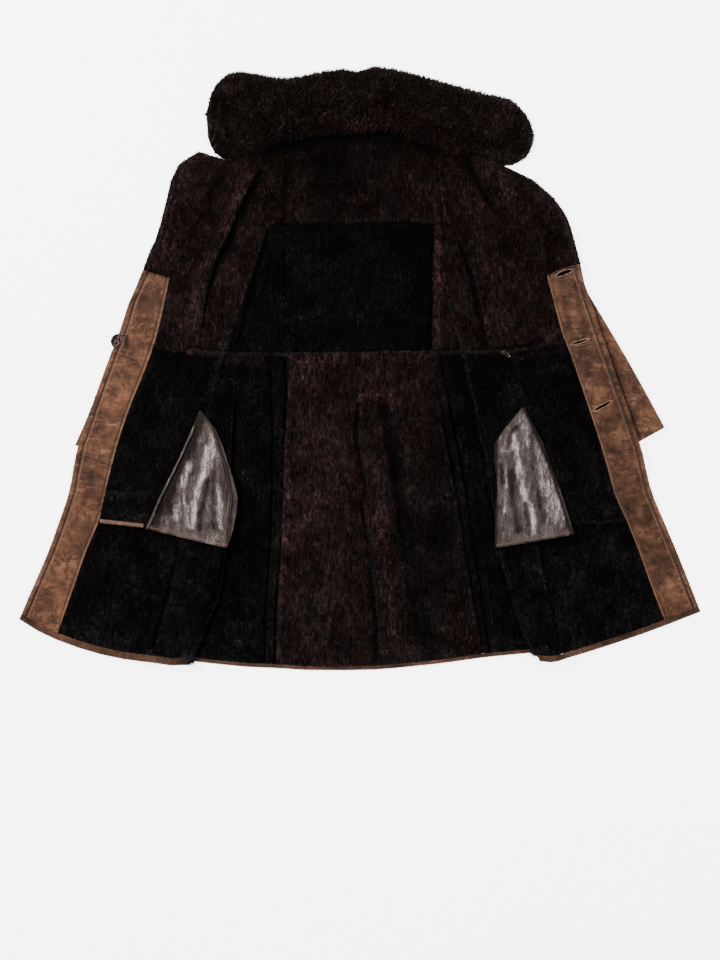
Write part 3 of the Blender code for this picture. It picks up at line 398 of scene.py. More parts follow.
# Colour, roughness, shine and wear of the small parts; the plait's wear is a mosaic of painted glints on its
# strands and painted shade in the gaps between them
STRAPS = {
    # Near black, so that a button under the plait paints the shade in its gaps
    "button leather": ((0.012, 0.008, 0.006), 0.55, 0.06),
    "plait leather": ((0.075, 0.050, 0.039), 0.40, 0.16, (0.46, 0.58, 0.08, 2.0)),
    "light thread": ((0.20, 0.125, 0.095), 0.6, 0.2),
    "bound edge": ((0.27, 0.155, 0.10), 0.7, 0.2),
    "tape": ((0.115, 0.062, 0.040), 0.65),
}
MATERIALS = {}


def new_material(name):
    pile, leather = bpy.context.scene.coat_pile, bpy.context.scene.coat_leather
    first, _, last = name.partition(" ")
    if last == "pile":
        return pile_material(name, tuple(getattr(pile, first)), PILE_ROUGHNESS[first])
    if last == "undercoat":
        return undercoat_material(name, tuple(getattr(pile, first)))
    if name == "suede":
        return skin_material(name, (tuple(leather.suede), tuple(leather.suede_worn), tuple(leather.suede_dark)))
    if name == "pocket leather":
        return bag_material(name, tuple(leather.bag))
    if name == "thread":
        return strap_material(name, tuple(leather.thread), 0.6)
    return wire_material() if name == "wire" else strap_material(name, *STRAPS[name])


def material(name):
    """The finished material of this name, made when it is first asked for."""
    if name not in MATERIALS:
        MATERIALS[name] = new_material(name)
    return MATERIALS[name]


# Fields over the coat, on numpy arrays


LATTICE = 128


def noise(x, y, size, seed):
    """Smooth noise from -1 to 1 with features of about this size."""
    values = np.random.default_rng(seed).uniform(-1, 1, (LATTICE, LATTICE))
    u, v = x / size + 37.3, y / size + 71.9
    i, j = np.floor(u).astype(int), np.floor(v).astype(int)
    a, b = u - i, v - j
    a, b = a * a * (3 - 2 * a), b * b * (3 - 2 * b)
    i, j = i % LATTICE, j % LATTICE
    k, m = (i + 1) % LATTICE, (j + 1) % LATTICE
    low = values[i, j] * (1 - a) + values[k, j] * a
    high = values[i, m] * (1 - a) + values[k, m] * a
    return low * (1 - b) + high * b


def path_offset(x, y, path):
    """How far each point is from a path, and on which side of it (1 to the right of its run)."""
    best = np.full(x.shape, 1e9)
    side = np.zeros(x.shape)
    for (ax, ay), (bx, by) in zip(path, path[1:]):
        rx, ry = bx - ax, by - ay
        t = np.clip(((x - ax) * rx + (y - ay) * ry) / (rx * rx + ry * ry), 0, 1)
        dx, dy = x - ax - t * rx, y - ay - t * ry
        d = np.hypot(dx, dy)
        nearer = d < best
        best = np.where(nearer, d, best)
        side = np.where(nearer, np.sign(dx * ry - dy * rx), side)
    return best, side


def patch(x, y, centre_x, centre_y, wide, tall):
    """1 at the centre of a soft patch, falling to 0 outside its half sizes."""
    return np.exp(-(((x - centre_x) / wide) ** 2) - ((y - centre_y) / tall) ** 2)


def profile(distance, half_width):
    """1 on a line, 0 twice its half width away, smooth between."""
    t = np.clip(distance / (2 * half_width), 0, 1)
    return 0.5 + 0.5 * np.cos(math.pi * t)


# Lines and folds in the pile: height and half width in mm, how much painted shade (under 0) or painted light
# it gets, how far the pile parts there, and the path. Shade is painted in folds, seams and valleys, light on
# ridges and tufts.
PILE_LINES = (
    # the back's side seam, the breast folds and what they shade
    (-3.0, 4.0, -0.75, 0.4, ((-127, 368), (-132, 312), (-137, 256))),
    (-2.0, 7.0, -0.70, 0.2, ((-172, 343), (-193, 312), (-211, 276), (-232, 219), (-256, 180), (-266, 148))),
    (1.5, 6.0, 0.55, 0.2, ((-190, 343), (-220, 289), (-244, 224), (-272, 178), (-290, 120), (-296, 60))),
    (-2.0, 3.0, -0.60, 0.4, ((-162, 245), (-179, 186), (-195, 122), (-214, 49))),
    (1.0, 4.0, 0.45, 0.3, ((-171, 245), (-188, 186), (-206, 122), (-225, 49))),
    (-1.5, 2.5, -0.60, 0.4, ((-132, 252), (-134, 186), (-129, 119), (-123, 32))),
    (1.0, 3.5, 0.45, 0.3, ((-140, 119), (-137, 75), (-131, 32))),
    (-2.0, 4.0, -0.85, 0.3, ((126, 250), (124, 154), (123, 40))),
    (1.6, 4.5, 0.75, 0.3, ((135, 248), (135, 154), (133, 40))),
    (-1.2, 2.2, -0.50, 0.4, ((139, 312), (144, 250), (151, 163), (160, 102), (172, 35))),
    (-1.5, 4.0, -0.55, 0.3, ((150, 290), (166, 242), (186, 192), (200, 136), (217, 40))),
    (1.2, 5.0, 0.40, 0.3, ((142, 312), (153, 268), (171, 228))),
    (-2.5, 7.0, -0.55, 0.5, ((179, 376), (195, 343), (216, 308), (237, 276))),
    (1.5, 9.0, 0.35, 0.2, ((196, 380), (224, 352), (257, 318), (292, 282))),
    (-1.5, 9.0, -0.35, 0.2, ((-232, 345), (-262, 300), (-296, 225), (-312, 186))),
    (-1.5, 10.0, -0.30, 0.2, ((262, 335), (306, 275), (342, 230))),
    # the painted shadow under the roll of the stand, and the creases on the collar
    (-3.0, 8.0, -0.80, 0.1, ((-160, 381), (-106, 396), (-53, 404), (3, 408), (43, 409), (64, 404))),
    (-1.5, 4.0, -0.55, 0.2, ((69, 408), (101, 392), (139, 380))),
    (-3.0, 2.6, -0.80, 0.5, ((-241, 458), (-238, 434), (-233, 402))),
    (1.2, 4.0, 0.35, 0.2, ((-247, 458), (-245, 434), (-241, 404))),
    (-2.0, 9.0, -0.35, 0.1, ((-106, 446), (-53, 458), (20, 468), (69, 474), (100, 462))),
    # the skirt's double seams
    (
        -2.0, 2.4, -0.75, 0.5,
        ((-132, 18), (-129, -56), (-134, -126), (-137, -231), (-141, -336), (-148, -424), (-151, -511)),
    ),
    (
        1.6, 3.2, 0.55, 0.2,
        ((-127, 18), (-123, -56), (-127, -126), (-130, -231), (-134, -336), (-140, -424), (-144, -511)),
    ),
    (
        -1.6, 2.4, -0.65, 0.5,
        ((-158, -7), (-155, -91), (-155, -196), (-158, -301), (-165, -406), (-169, -511)),
    ),
    (1.2, 5.0, 0.55, 0.3, ((-146, -7), (-144, -91), (-146, -196), (-149, -301), (-156, -406), (-160, -511))),
    (
        -2.0, 2.4, -0.80, 0.5,
        ((129, 23), (139, -56), (155, -144), (171, -231), (183, -318), (199, -406), (216, -502)),
    ),
    (
        -1.8, 2.2, -0.70, 0.5,
        ((141, 19), (155, -56), (171, -135), (185, -214), (199, -310), (214, -406), (227, -497)),
    ),
    (
        1.4, 3.6, 0.50, 0.2,
        ((135, 21), (147, -56), (163, -140), (178, -223), (191, -314), (207, -406), (222, -500)),
    ),
    (
        1.0, 3.6, 0.40, 0.2,
        ((149, 19), (164, -56), (180, -135), (194, -214), (208, -310), (223, -406), (235, -497)),
    ),
    # its centre seam and the soft folds round it
    (
        -1.6, 4.5, -0.60, 0.4,
        ((-6, -62), (-8, -126), (6, -196), (3, -248), (17, -310), (22, -388), (27, -476), (29, -511)),
    ),
    (
        -1.6, 8.0, -0.65, 0.2,
        ((39, -66), (46, -100), (55, -144), (67, -205), (73, -266), (80, -318), (90, -388)),
    ),
    (-1.0, 10.0, -0.35, 0.2, ((90, -388), (111, -458), (125, -502))),
    (0.8, 13.0, 0.40, 0.0, ((22, -150), (32, -205), (38, -266), (44, -330), (52, -400), (60, -480))),
    (1.2, 7.0, 0.40, 0.3, ((-8, -62), (2, -44), (24, -36), (48, -46), (66, -72))),
    # tufts that stand up along the waist with painted light on them, and painted shade under them
    (1.4, 6.0, 2.2, 0.3, ((-246, 17), (-172, 14))),
    (0.8, 5.0, 0.40, 0.3, ((-110, 16), (-10, 17), (110, 18))),
    (1.0, 5.0, 1.2, 0.3, ((270, 20), (352, 34))),
    (2.6, 3.6, 1.10, 0.6, ((-300, 30), (-258, 24), (-225, 24), (-125, 23))),
    (2.4, 3.4, 0.80, 0.5, ((-125, 23), (0, 24), (125, 26))),
    (2.0, 3.4, 0.60, 0.5, ((125, 26), (235, 26), (310, 34), (361, 44))),
    (-1.2, 2.4, -0.50, 0.2, ((-300, 40), (-225, 33), (0, 33), (125, 35), (235, 36), (310, 44))),
    # the gores' seams and folds
    (-1.6, 3.0, -0.60, 0.4, ((-319, -314), (-342, -406), (-366, -494))),
    (1.0, 4.0, 0.50, 0.3, ((-328, -314), (-351, -406), (-375, -490))),
    (-1.6, 4.5, -0.55, 0.2, ((-233, -300), (-240, -340), (-254, -400), (-276, -460))),
    (1.0, 4.5, 0.45, 0.2, ((248, -318), (262, -388), (279, -458), (293, -502))),
    (-1.6, 3.0, -0.60, 0.4, ((314, -310), (327, -388), (346, -476))),
    (0.9, 4.0, 0.35, 0.3, ((306, -310), (319, -388), (338, -476))),
    (1.0, 5.0, 0.40, 0.2, ((181, 18), (194, -30), (208, -91), (229, -161))),
    (-1.4, 6.0, -0.45, 0.2, ((174, 10), (186, -36), (200, -95), (220, -161))),
)
# Soft patches of tone: x, y, half width, half height and how much darker or lighter. Some are the pile's own
# uneven colour, others painted shade and light of broad folds, such as the painted shadow just under the
# stand's roll.
PILE_PATCHES = (
    (94, 170, 26, 70, -0.80),
    (-10, 310, 140, 80, -0.72),
    (0, 385, 110, 22, -0.35),
    (130, -300, 66, 260, -0.75),
    (-30, -420, 50, 90, -0.20),
    (281, 21, 5, 4, 2.0),
    (0, 440, 130, 22, 0.75),
    (-8, 190, 30, 60, 0.45),
    (-64, -200, 34, 190, 0.55),
    (-100, -300, 26, 150, 0.25),
    (18, -140, 24, 80, -0.35),
    (-65, 0, 45, 26, 0.35),
    (50, 320, 60, 36, 0.35),
    (-60, 365, 60, 16, -0.55),
    (-60, 320, 34, 16, -0.35),
    (-100, 330, 14, 20, 0.45),
    (-300, 330, 26, 44, 0.65),
    (-255, 130, 14, 60, 0.20),
    (-350, 90, 40, 70, -0.30),
    (230, 300, 30, 50, 0.35),
    (330, 250, 40, 50, 0.05),
    (270, 150, 90, 120, -0.28),
    (-330, 120, 50, 70, 0.20),
    (350, 30, 60, 24, -0.20),
    (-440, -60, 40, 70, 0.10),
    (-390, -220, 60, 20, 0.50),
    (-420, -400, 50, 30, 0.20),
    (-200, -200, 18, 120, -0.15),
    (470, -350, 60, 60, 0.25),
    (370, -210, 40, 60, 0.15),
    (130, 470, 120, 26, 0.15),
    (270, 430, 40, 40, 0.25),
    (-240, 490, 40, 26, 0.20),
)
# How strongly the lines' painted shade and light show
PAINTED_FOLD_CONTRAST = 1.7
WIDE_FROM = 6.0  # mm: wider lines shape the skin, and narrower ones its pile alone


def pile_fields(x, y):
    """The height of the skin and of the pile, its tone with painted shade and light, and its parting at each
    place.
    """
    broad, fine, tone = np.zeros(x.shape), np.zeros(x.shape), np.ones(x.shape)
    part_x, part_y = np.zeros(x.shape), np.zeros(x.shape)
    for rise, half_width, shade, parting, path in PILE_LINES:
        d, side = path_offset(x, y, path)
        share = profile(d, half_width)
        if half_width >= WIDE_FROM:
            broad += rise * share
        else:
            fine += rise * share
        tone += PAINTED_FOLD_CONTRAST * shade * share
        rx, ry = path[-1][0] - path[0][0], path[-1][1] - path[0][1]
        run = math.hypot(rx, ry)
        part_x += parting * share * side * ry / run
        part_y -= parting * share * side * rx / run
    for *place, shade in PILE_PATCHES:
        tone += shade * patch(x, y, *place)
    return broad, fine, np.clip(tone, 0.12, 5.0), part_x, part_y


# Skins


SKIN, TOP, SIDE = 0, 1, 2  # material slots of a skin: its flesh side, what covers it, and its edges


SAME_POINT = 2e-6  # m
FLAT_PAIR, SQUARE_PAIR = math.radians(25), math.radians(60)  # triangles nearer than this make a quad
UPPER, STEEP, UNDER = 0.3, 0.6, -0.5  # height of the normals of upper, sideways and under faces
MOST_HALVINGS = 6


def merged_copy(node):
    """A bmesh of a CAD node with its loose triangles joined."""
    bm = bmesh.new()
    bm.from_mesh(NODES[node].data)
    bmesh.ops.remove_doubles(bm, verts=bm.verts, dist=SAME_POINT)
    bmesh.ops.join_triangles(
        bm, faces=bm.faces, angle_face_threshold=FLAT_PAIR, angle_shape_threshold=SQUARE_PAIR
    )
    bm.normal_update()
    return bm


def upper_faces(bm):
    return [face for face in bm.faces if face.normal.z > UPPER]


def split_large(bm):
    bmesh.ops.triangulate(bm, faces=[f for f in bm.faces if len(f.verts) > 4])


def refine(bm, size):
    """Halves the long edges of what is on top until they are shorter than size."""
    for _ in range(MOST_HALVINGS):
        edges = {e for face in upper_faces(bm) for e in face.edges if e.calc_length() > size}
        if not edges:
            break
        bmesh.ops.subdivide_edges(bm, edges=list(edges), cuts=1, use_grid_fill=True)
        split_large(bm)
        bm.normal_update()


def ease(bm, rounds):
    """Smooths the heights of the upper side, apart from its edge, and returns the points it moved."""
    upper = set(upper_faces(bm))
    inner = [v for v in bm.verts if v.link_faces and all(f in upper for f in v.link_faces)]
    for _ in range(rounds):
        means = [sum(e.other_vert(v).co.z for e in v.link_edges) / len(v.link_edges) for v in inner]
        for v, z in zip(inner, means):
            v.co.z = z
    return inner


ALL_TREES = {}  # of the CAD nodes
SURFACES = {}  # of the finished skins, by node


def tree_of(node):
    if node not in ALL_TREES:
        ALL_TREES[node] = tree_from(NODES[node].data)
    return ALL_TREES[node]


NEIGHBOUR = 0.02  # m between the boxes of nodes that may touch or cover each other


def others(node):
    """The trees of the CAD nodes whose boxes come near this node's."""
    low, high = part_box(node)
    near = []
    for name in NODES:
        if name != node:
            a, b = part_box(name)
            if all(a[i] < high[i] + NEIGHBOUR and b[i] > low[i] - NEIGHBOUR for i in (0, 1)):
                near.append(tree_of(name))
    return near


def thickness(tree, point, most):
    """How thick a node is under a point of its upper side, or None."""
    hit = tree.ray_cast(point - Vector((0, 0, 1e-4)), Vector((0, 0, -1)), most)
    return hit[3] if hit[0] is not None else None


def flat_size(points):
    """Sides of the smallest rectangle round points in x and y."""
    best = None
    for degree in range(0, 90, 2):
        a = math.radians(degree)
        u = points[:, 0] * math.cos(a) + points[:, 1] * math.sin(a)
        v = points[:, 1] * math.cos(a) - points[:, 0] * math.sin(a)
        wide, tall = float(np.ptp(u)), float(np.ptp(v))
        if best is None or wide * tall < best[0] * best[1]:
            best = (wide, tall)
    return tuple(sorted(best))


SEAM_GAP = 0.0016  # m: panels this near to each other are sewn together
MEET = 0.52  # share of the gap that each of the two moves


def close_seams(bm, node):
    """Moves the edges of a panel halfway to the panels it is sewn to."""
    near = others(node)
    for v in bm.verts:
        if any(abs(face.normal.z) < STEEP for face in v.link_faces):
            spots = [t.find_nearest(v.co, SEAM_GAP)[0] for t in near]
            spots = [spot - v.co for spot in spots if spot is not None]
            if spots:
                way = min(spots, key=lambda spot: spot.length)
                v.co.x += MEET * way.x
                v.co.y += MEET * way.y


DEEPEST = 0.05  # m
EDGE_LIFT = 0.4  # share of the shaping that reaches a panel's edge


def shape_top(node, upper, inner, sink, shape):
    """Sinks the upper side by up to half its thickness and adds its shape."""
    tree = tree_of(node)
    tops = list({v for face in upper for v in face.verts})
    x, y = to_coat(np.array([v.co for v in tops]))
    lift = shape(x, y) * MM if shape else np.zeros(len(tops))
    free = set(inner)
    for v, up in zip(tops, lift):
        deep = thickness(tree, v.co, DEEPEST)
        depth = min(sink, 0.5 * (deep if deep else 2 * sink))
        v.co.z += (up if v in free else EDGE_LIFT * up) - depth


LOWEST = 0.0002  # m over the floor
SHARP = math.radians(48)
TONES = (0.2, 2.0)


def skin_mesh(bm, name, finishes, shade, lines):
    """The mesh of a skin, with its materials and the fields that they read."""
    mesh = bpy.data.meshes.new(name)
    split_large(bm)
    bm.to_mesh(mesh)
    bm.free()
    mesh.set_sharp_from_angle(angle=SHARP)
    for finish in finishes:
        mesh.materials.append(material(finish))
    x, y = to_coat(read(mesh.vertices, "co", 3).astype(float))
    tones = np.clip(shade(x, y), *TONES) if shade else np.ones(len(x))
    mesh.attributes.new("tone", "FLOAT", "POINT").data.foreach_set("value", tones.astype(np.float32))
    measured = np.stack(lines(x, y) if lines else [np.full(x.shape, FAR)] * 3, 1).astype(np.float32)
    mesh.attributes.new("lines", "FLOAT_VECTOR", "POINT").data.foreach_set("vector", measured.ravel())
    return mesh


def skin_piece(
    node, slot, cover, size, *, name=None, sink=0.0, rounds=6, shape=None, shade=None, lines=None, under=None
):
    """A sheet that stands for a CAD node: its mesh made finer, eased and shaped, with its cover on top
    and at the edges, and the same or another material under it."""
    name = name or node + "_skin"
    bm = merged_copy(node)
    refine(bm, size)
    inner = ease(bm, rounds)
    upper = upper_faces(bm)
    close_seams(bm, node)
    if sink or shape:
        shape_top(node, upper, inner, sink, shape)
    if node in FACINGS_L:
        open_slits(bm)
    for v in bm.verts:
        v.co.z = max(v.co.z, LOWEST)
    bm.normal_update()
    for face in bm.faces:
        face.smooth = True
        face.material_index = SKIN if face.normal.z < UNDER else SIDE
    for face in upper:
        face.material_index = TOP
    area = sum(face.calc_area() for face in upper)
    half_surface = sum(face.calc_area() for face in bm.faces) / 2
    points = np.array([v.co[:2] for v in bm.verts])
    mesh = skin_mesh(bm, name, (under or cover, cover, cover), shade, lines)
    SURFACES[node] = tree_from(mesh)
    piece = place_piece(name, mesh)
    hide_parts(node)
    piece["laid"] = (*flat_size(points), area, half_surface)
    return piece


STRIP_SHARE = 0.45  # of its rectangle: a strip that lies in a curve covers less
LEAST_STRIP = 0.01  # m


def declare(piece, rests_on, with_pieces=()):
    """Works out the flat size of a skin from the measures it carries and takes them off it; what lies on it is
    not used.
    """
    wide, tall, area, half_surface = piece["laid"]
    del piece["laid"]
    if area < STRIP_SHARE * wide * tall:  # a narrow strip that lies in a curve is cut straight
        area = half_surface
        wide = area / tall
    wide = max(wide, LEAST_STRIP)
    area = min(area, wide * tall)
    rests_on, with_pieces = list(rests_on), list(with_pieces)


# Pile


OVERHEAD = 0.05  # m over a point, in which something hides it


def hidden(points, trees):
    """Which points have something over them."""
    up = Vector((0, 0, 1))
    covered = (any(t.ray_cast(p, up, OVERHEAD)[0] is not None for t in trees) for p in map(Vector, points))
    return np.array(list(covered))


def lattice_rand(i, j, seed):
    """A number from 0 to 1 for each cell."""
    h = (i * 374761393 + j * 668265263 + seed * 2147483647) & 0xFFFFFFFF
    h = ((h ^ (h >> 13)) * 1274126177) & 0xFFFFFFFF
    return ((h ^ (h >> 16)) & 0xFFFF) / 65535.0


def unit(v):
    return v / np.maximum(np.linalg.norm(v, axis=1), 1e-12)[:, None]


SEAM_SHADE = 0.0024  # m: how far the shade of a seam reaches into the pile
SEAM_NEAR = 0.003  # m


def seam_distance(mesh, near, points):
    """How far each point is from the panel's sewn edges."""
    tops = {}
    for polygon, slot in zip(mesh.polygons, read(mesh.polygons, "material_index", kind=np.int32)):
        for key in polygon.edge_keys:
            tops.setdefault(key, []).append(slot)
    segments = []
    for (i, j), slots in tops.items():
        if len(set(slots)) == 2:
            a, b = mesh.vertices[i].co, mesh.vertices[j].co
            middle = (a + b) / 2
            if any(t.find_nearest(middle, SEAM_NEAR)[0] is not None for t in near):
                segments.append((a.x, a.y, b.x, b.y))
    best = np.full(len(points), 1.0)
    for ax, ay, bx, by in segments:
        reach = 4 * SEAM_SHADE
        close = (points[:, 0] > min(ax, bx) - reach) & (points[:, 0] < max(ax, bx) + reach)
        close &= (points[:, 1] > min(ay, by) - reach) & (points[:, 1] < max(ay, by) + reach)
        close = np.nonzero(close)[0]
        if len(close):
            rx, ry = bx - ax, by - ay
            px, py = points[close, 0], points[close, 1]
            t = np.clip(((px - ax) * rx + (py - ay) * ry) / (rx * rx + ry * ry + 1e-12), 0, 1)
            best[close] = np.minimum(best[close], np.hypot(px - ax - t * rx, py - ay - t * ry))
    return best


SIDE_UP, SIDE_CLEAR = 0.75, 0.007  # steepness of a face that is an edge, and the m of room beside it


def is_free(middle, normal, near):
    """Whether an edge of a panel has nothing over it or beside it."""
    out = Vector((*normal[:2], 0.0))
    if out.length < 0.1:
        return False
    out.normalize()
    start = Vector(middle)
    if hidden([start - out * 0.0015], near)[0]:
        return False
    return not any(t.ray_cast(start, out, SIDE_CLEAR)[0] is not None for t in near)


def growing_faces(mesh, near):
    """The triangles that pile grows on: corners, areas, normals, and which of them are free edges."""
    mesh.calc_loop_triangles()
    corners = read(mesh.loop_triangles, "vertices", 3, np.int32)
    owner = read(mesh.loop_triangles, "polygon_index", kind=np.int32)
    co = read(mesh.vertices, "co", 3).astype(float)
    a, b, c = (co[corners[:, k]] for k in range(3))
    cross = np.cross(b - a, c - a)
    normal, middle = unit(cross), (a + b + c) / 3
    on_top = read(mesh.polygons, "material_index", kind=np.int32)[owner] == TOP
    edge = (~on_top) & (np.abs(normal[:, 2]) < SIDE_UP)
    for k in np.nonzero(edge)[0]:
        edge[k] = is_free(middle[k], normal[k], near)
    use = on_top | edge
    return corners[use], np.linalg.norm(cross, axis=1)[use] / 2, normal[use], edge[use]


def rooted(rng, mesh, near, density):
    """Roots spread over a panel, the way up at each, and which of them are on its free edges."""
    corners, area, normal, edge = growing_faces(mesh, near)
    co = read(mesh.vertices, "co", 3).astype(float)
    normals = read(mesh.vertices, "normal", 3).astype(float)
    wanted = area.sum() / MM**2 * bpy.context.scene.coat_pile.density * density
    total = int(wanted * (1.0))
    pick = np.searchsorted(np.cumsum(area) / area.sum(), rng.random(total))
    pick = np.minimum(pick, len(area) - 1)
    u, v = rng.random(total), rng.random(total)
    flip = u + v > 1
    u, v = np.where(flip, 1 - u, u), np.where(flip, 1 - v, v)
    shares = ((1 - u - v)[:, None], u[:, None], v[:, None])
    k = corners[pick]
    root = co[k[:, 0]] * shares[0] + co[k[:, 1]] * shares[1] + co[k[:, 2]] * shares[2]
    up = normals[k[:, 0]] * shares[0] + normals[k[:, 1]] * shares[1] + normals[k[:, 2]] * shares[2]
    side_on = edge[pick]
    up = unit(np.where(side_on[:, None], normal[pick], up))
    seen = ~hidden(root + up * 0.0008, near) | side_on
    return root[seen], up[seen], side_on[seen]


FEWEST_LOCKS = 20  # with fewer, a panel is wholly covered
# How much lighter the locks on a sloping edge are painted, as rim light
RIM_LIGHT = 0.5


def pile_piece(
    skin, node, slot, kind, length, seed, nap, rise=36.0, clump=2.4, stretch=3.4, curl=12.0, density=1.0
):
    """Locks of pile on a skin, joined in one mesh: each a long triangle from its root to its tip.
    The nap, the rise and the curl are in degrees, and a clump's width in mm."""
    rng = np.random.default_rng(seed)
    near = others(node)
    root, up, side_on = rooted(rng, skin.data, near, density)
    total = len(root)
    if total < FEWEST_LOCKS:
        return None

    x, y = to_coat(root)
    _broad, fine, tone, part_x, part_y = pile_fields(x, y)
    # Painted shade near the sewn seams, and painted rim light on locks whose skin slopes away from the top
    seam = np.exp(-((seam_distance(skin.data, near, root) / SEAM_SHADE) ** 2))
    tone = tone * (1 - 0.3 * seam) * (1 + RIM_LIGHT * (1 - np.clip(up[:, 2], 0, 1)))
    root[:, 2] += np.clip(fine, -1.2, 3.0) * MM
    # Locks gather in clumps on an uneven lattice
    wx = x + 2.5 * noise(x, y, 9.0, seed + 1)
    wy = y + 2.5 * noise(x, y, 9.0, seed + 2)
    i, j = np.floor(wx / clump).astype(np.int64), np.floor(wy / (stretch * clump)).astype(np.int64)
    r1, r2, r3, r4 = (lattice_rand(i, j, seed + s) for s in range(4))
    cx, cy = (i + 0.2 + 0.6 * r1) * clump, (j + 0.2 + 0.6 * r2) * stretch * clump

    angle = nap + 24 * noise(x, y, 55.0, seed + 5) + 16 * noise(x, y, 21.0, seed + 6)
    angle = np.radians(angle + curl * 2 * (r3 - 0.5) + rng.normal(0, 9, total))
    lay = unit(np.stack([np.cos(angle) + part_x, np.sin(angle) + part_y, np.zeros(total)], 1))
    out = np.stack([up[:, 0], up[:, 1], np.zeros(total)], 1)
    slope = np.linalg.norm(out, axis=1)
    lay = unit(lay + 1.5 * out * (slope > 0.3)[:, None])
    lay = unit(lay - up * (lay * up).sum(1)[:, None])
    pitch = np.radians(rise + 10 * noise(x, y, 30.0, seed + 7) + 24 * (r4 - 0.5) + rng.normal(0, 6, total))
    pitch = np.where(side_on, np.radians(25), pitch)
    way = lay * np.cos(pitch)[:, None] + up * np.sin(pitch)[:, None]
    reach = length * (1 + 0.5 * (r2 - 0.5) + rng.normal(0, 0.10, total))
    reach = np.where(side_on, 0.45 * reach, reach)
    reach = reach * (1 - 0.15 * seam) * np.clip(1 + 0.10 * fine, 0.55, 1.3)
    tip = root + way * reach[:, None]
    # Tips draw together
    middle_x = (cx - (wx - x)) * MM + OFF_X + lay[:, 0] * np.cos(pitch) * reach
    middle_y = (cy - (wy - y)) * MM + OFF_Y + lay[:, 1] * np.cos(pitch) * reach
    pull = np.where(side_on, 0.0, np.array([0.65, 0.25]).reshape(2, 1))
    tip[:, 0] += (middle_x - tip[:, 0]) * pull[0]
    tip[:, 1] += (middle_y - tip[:, 1]) * pull[1]
    tip[:, 2] = np.maximum(tip[:, 2], TIP_FLOOR)

    tint = np.clip(0.44 + 0.80 * (r1 - 0.5) + rng.normal(0, 0.10, total), 0, 1)
    width = bpy.context.scene.coat_pile.lock_width * 1.0
    width = width * rng.uniform(0.35, 0.65, total)
    return lock_piece(node + "_pile", kind + " pile", rng, root, up, tip, width, tint, tone)


ROOT_DEPTH = 0.0004  # m of a lock under its skin
LOCK_FLOOR, TIP_FLOOR = 0.0005, 0.0008  # m over the floor: the lowest that a lock and its tip come


def lock_piece(name, finish, rng, root, up, tip, width, tint, tone):
    """One mesh of locks from their roots to their tips."""
    total = len(root)
    way = unit(tip - root)
    across = unit(np.cross(way, up))
    roll = np.radians(rng.normal(0, 32, total))
    across = across * np.cos(roll)[:, None] + np.cross(way, across) * np.sin(roll)[:, None]
    half = across * width[:, None]
    foot = root - up * ROOT_DEPTH
    points = np.stack([foot - half, foot + half, tip], 1)
    turned = np.cross(points[:, 1] - points[:, 0], points[:, 2] - points[:, 0])
    wrong = (turned * up).sum(1) < 0
    points[wrong] = points[wrong][:, [1, 0, 2]]
    points[:, :, 2] = np.maximum(points[:, :, 2], LOCK_FLOOR)

    locks = bpy.data.meshes.new(name)
    locks.vertices.add(3 * total)
    locks.vertices.foreach_set("co", points.astype(np.float32).ravel())
    locks.loops.add(3 * total)
    locks.loops.foreach_set("vertex_index", np.arange(3 * total, dtype=np.int32))
    locks.polygons.add(total)
    locks.polygons.foreach_set("loop_start", np.arange(0, 3 * total, 3, dtype=np.int32))
    locks.update(calc_edges=True)
    strand = np.zeros((total, 3, 3), np.float32)
    strand[:, 2, 0] = 1.0
    strand[:, :, 1] = tint[:, None]
    strand[:, :, 2] = tone[:, None]
    locks.attributes.new("strand", "FLOAT_VECTOR", "POINT").data.foreach_set("vector", strand.ravel())

    # Its own map: two locks to a square cell of a regular grid
    cells = math.ceil(math.sqrt(math.ceil(total / 2)))
    k = np.arange(total)
    cell, second = k // 2, (k % 2)[:, None]
    corner = np.stack([cell % cells, cell // cells], 1)[:, None, :]
    first = np.array([(0.04, 0.04), (0.84, 0.04), (0.04, 0.84)])
    shape = np.where(second[..., None] == 0, first[None], 1 - first[None])
    uv = ((corner + shape) / cells).astype(np.float32)
    locks.uv_layers.new(name="OFBake").data.foreach_set("uv", uv.ravel())
    locks.materials.append(material(finish))
    return place_piece(name, locks)


def pile_shape(x, y):
    """Unevenness of a pile panel, in mm."""
    return pile_fields(x, y)[0] + 0.7 * noise(x, y, 34.0, 11) + 0.5 * noise(x, y, 17.0, 12)


PILE_SINK = 0.0036  # m: the skin lies this far under the top of the pile
PILE_KINDS = {"fur_brown": "brown", "fur_black": "black", "collar_fur": "collar"}


def fur_panel(
    node, seed, slot, nap=-90.0, size=0.009, sink=PILE_SINK, rests_on=(), held="laid", length=None, **more
):
    """A skin with its pile."""
    kind = PILE_KINDS[slot]
    length = length or bpy.context.scene.coat_pile.length
    skin = skin_piece(node, slot, kind + " undercoat", size, sink=sink, shape=pile_shape, under="suede")
    pile = pile_piece(skin, node, slot, kind, length, seed, nap, **more)
    declare(skin, rests_on, [pile] if pile else [])


# Operators


class COAT_OT_back(bpy.types.Operator):
    """Makes the back panels above the waist"""

    bl_idname = "coat.back"
    bl_label = "Back"

    def execute(self, context):
        fur_panel("back_yoke", 100, "fur_brown", -84)
        fur_panel("back_centre_upper", 110, "fur_black", -90)
        fur_panel("back_side_upper_r", 120, "fur_black", -92)
        fur_panel("back_side_upper_l", 130, "fur_brown", -88)
        fur_panel("underarm_r", 140, "fur_brown", -96)
        fur_panel("underarm_l", 150, "fur_brown", -84)
        return {"FINISHED"}


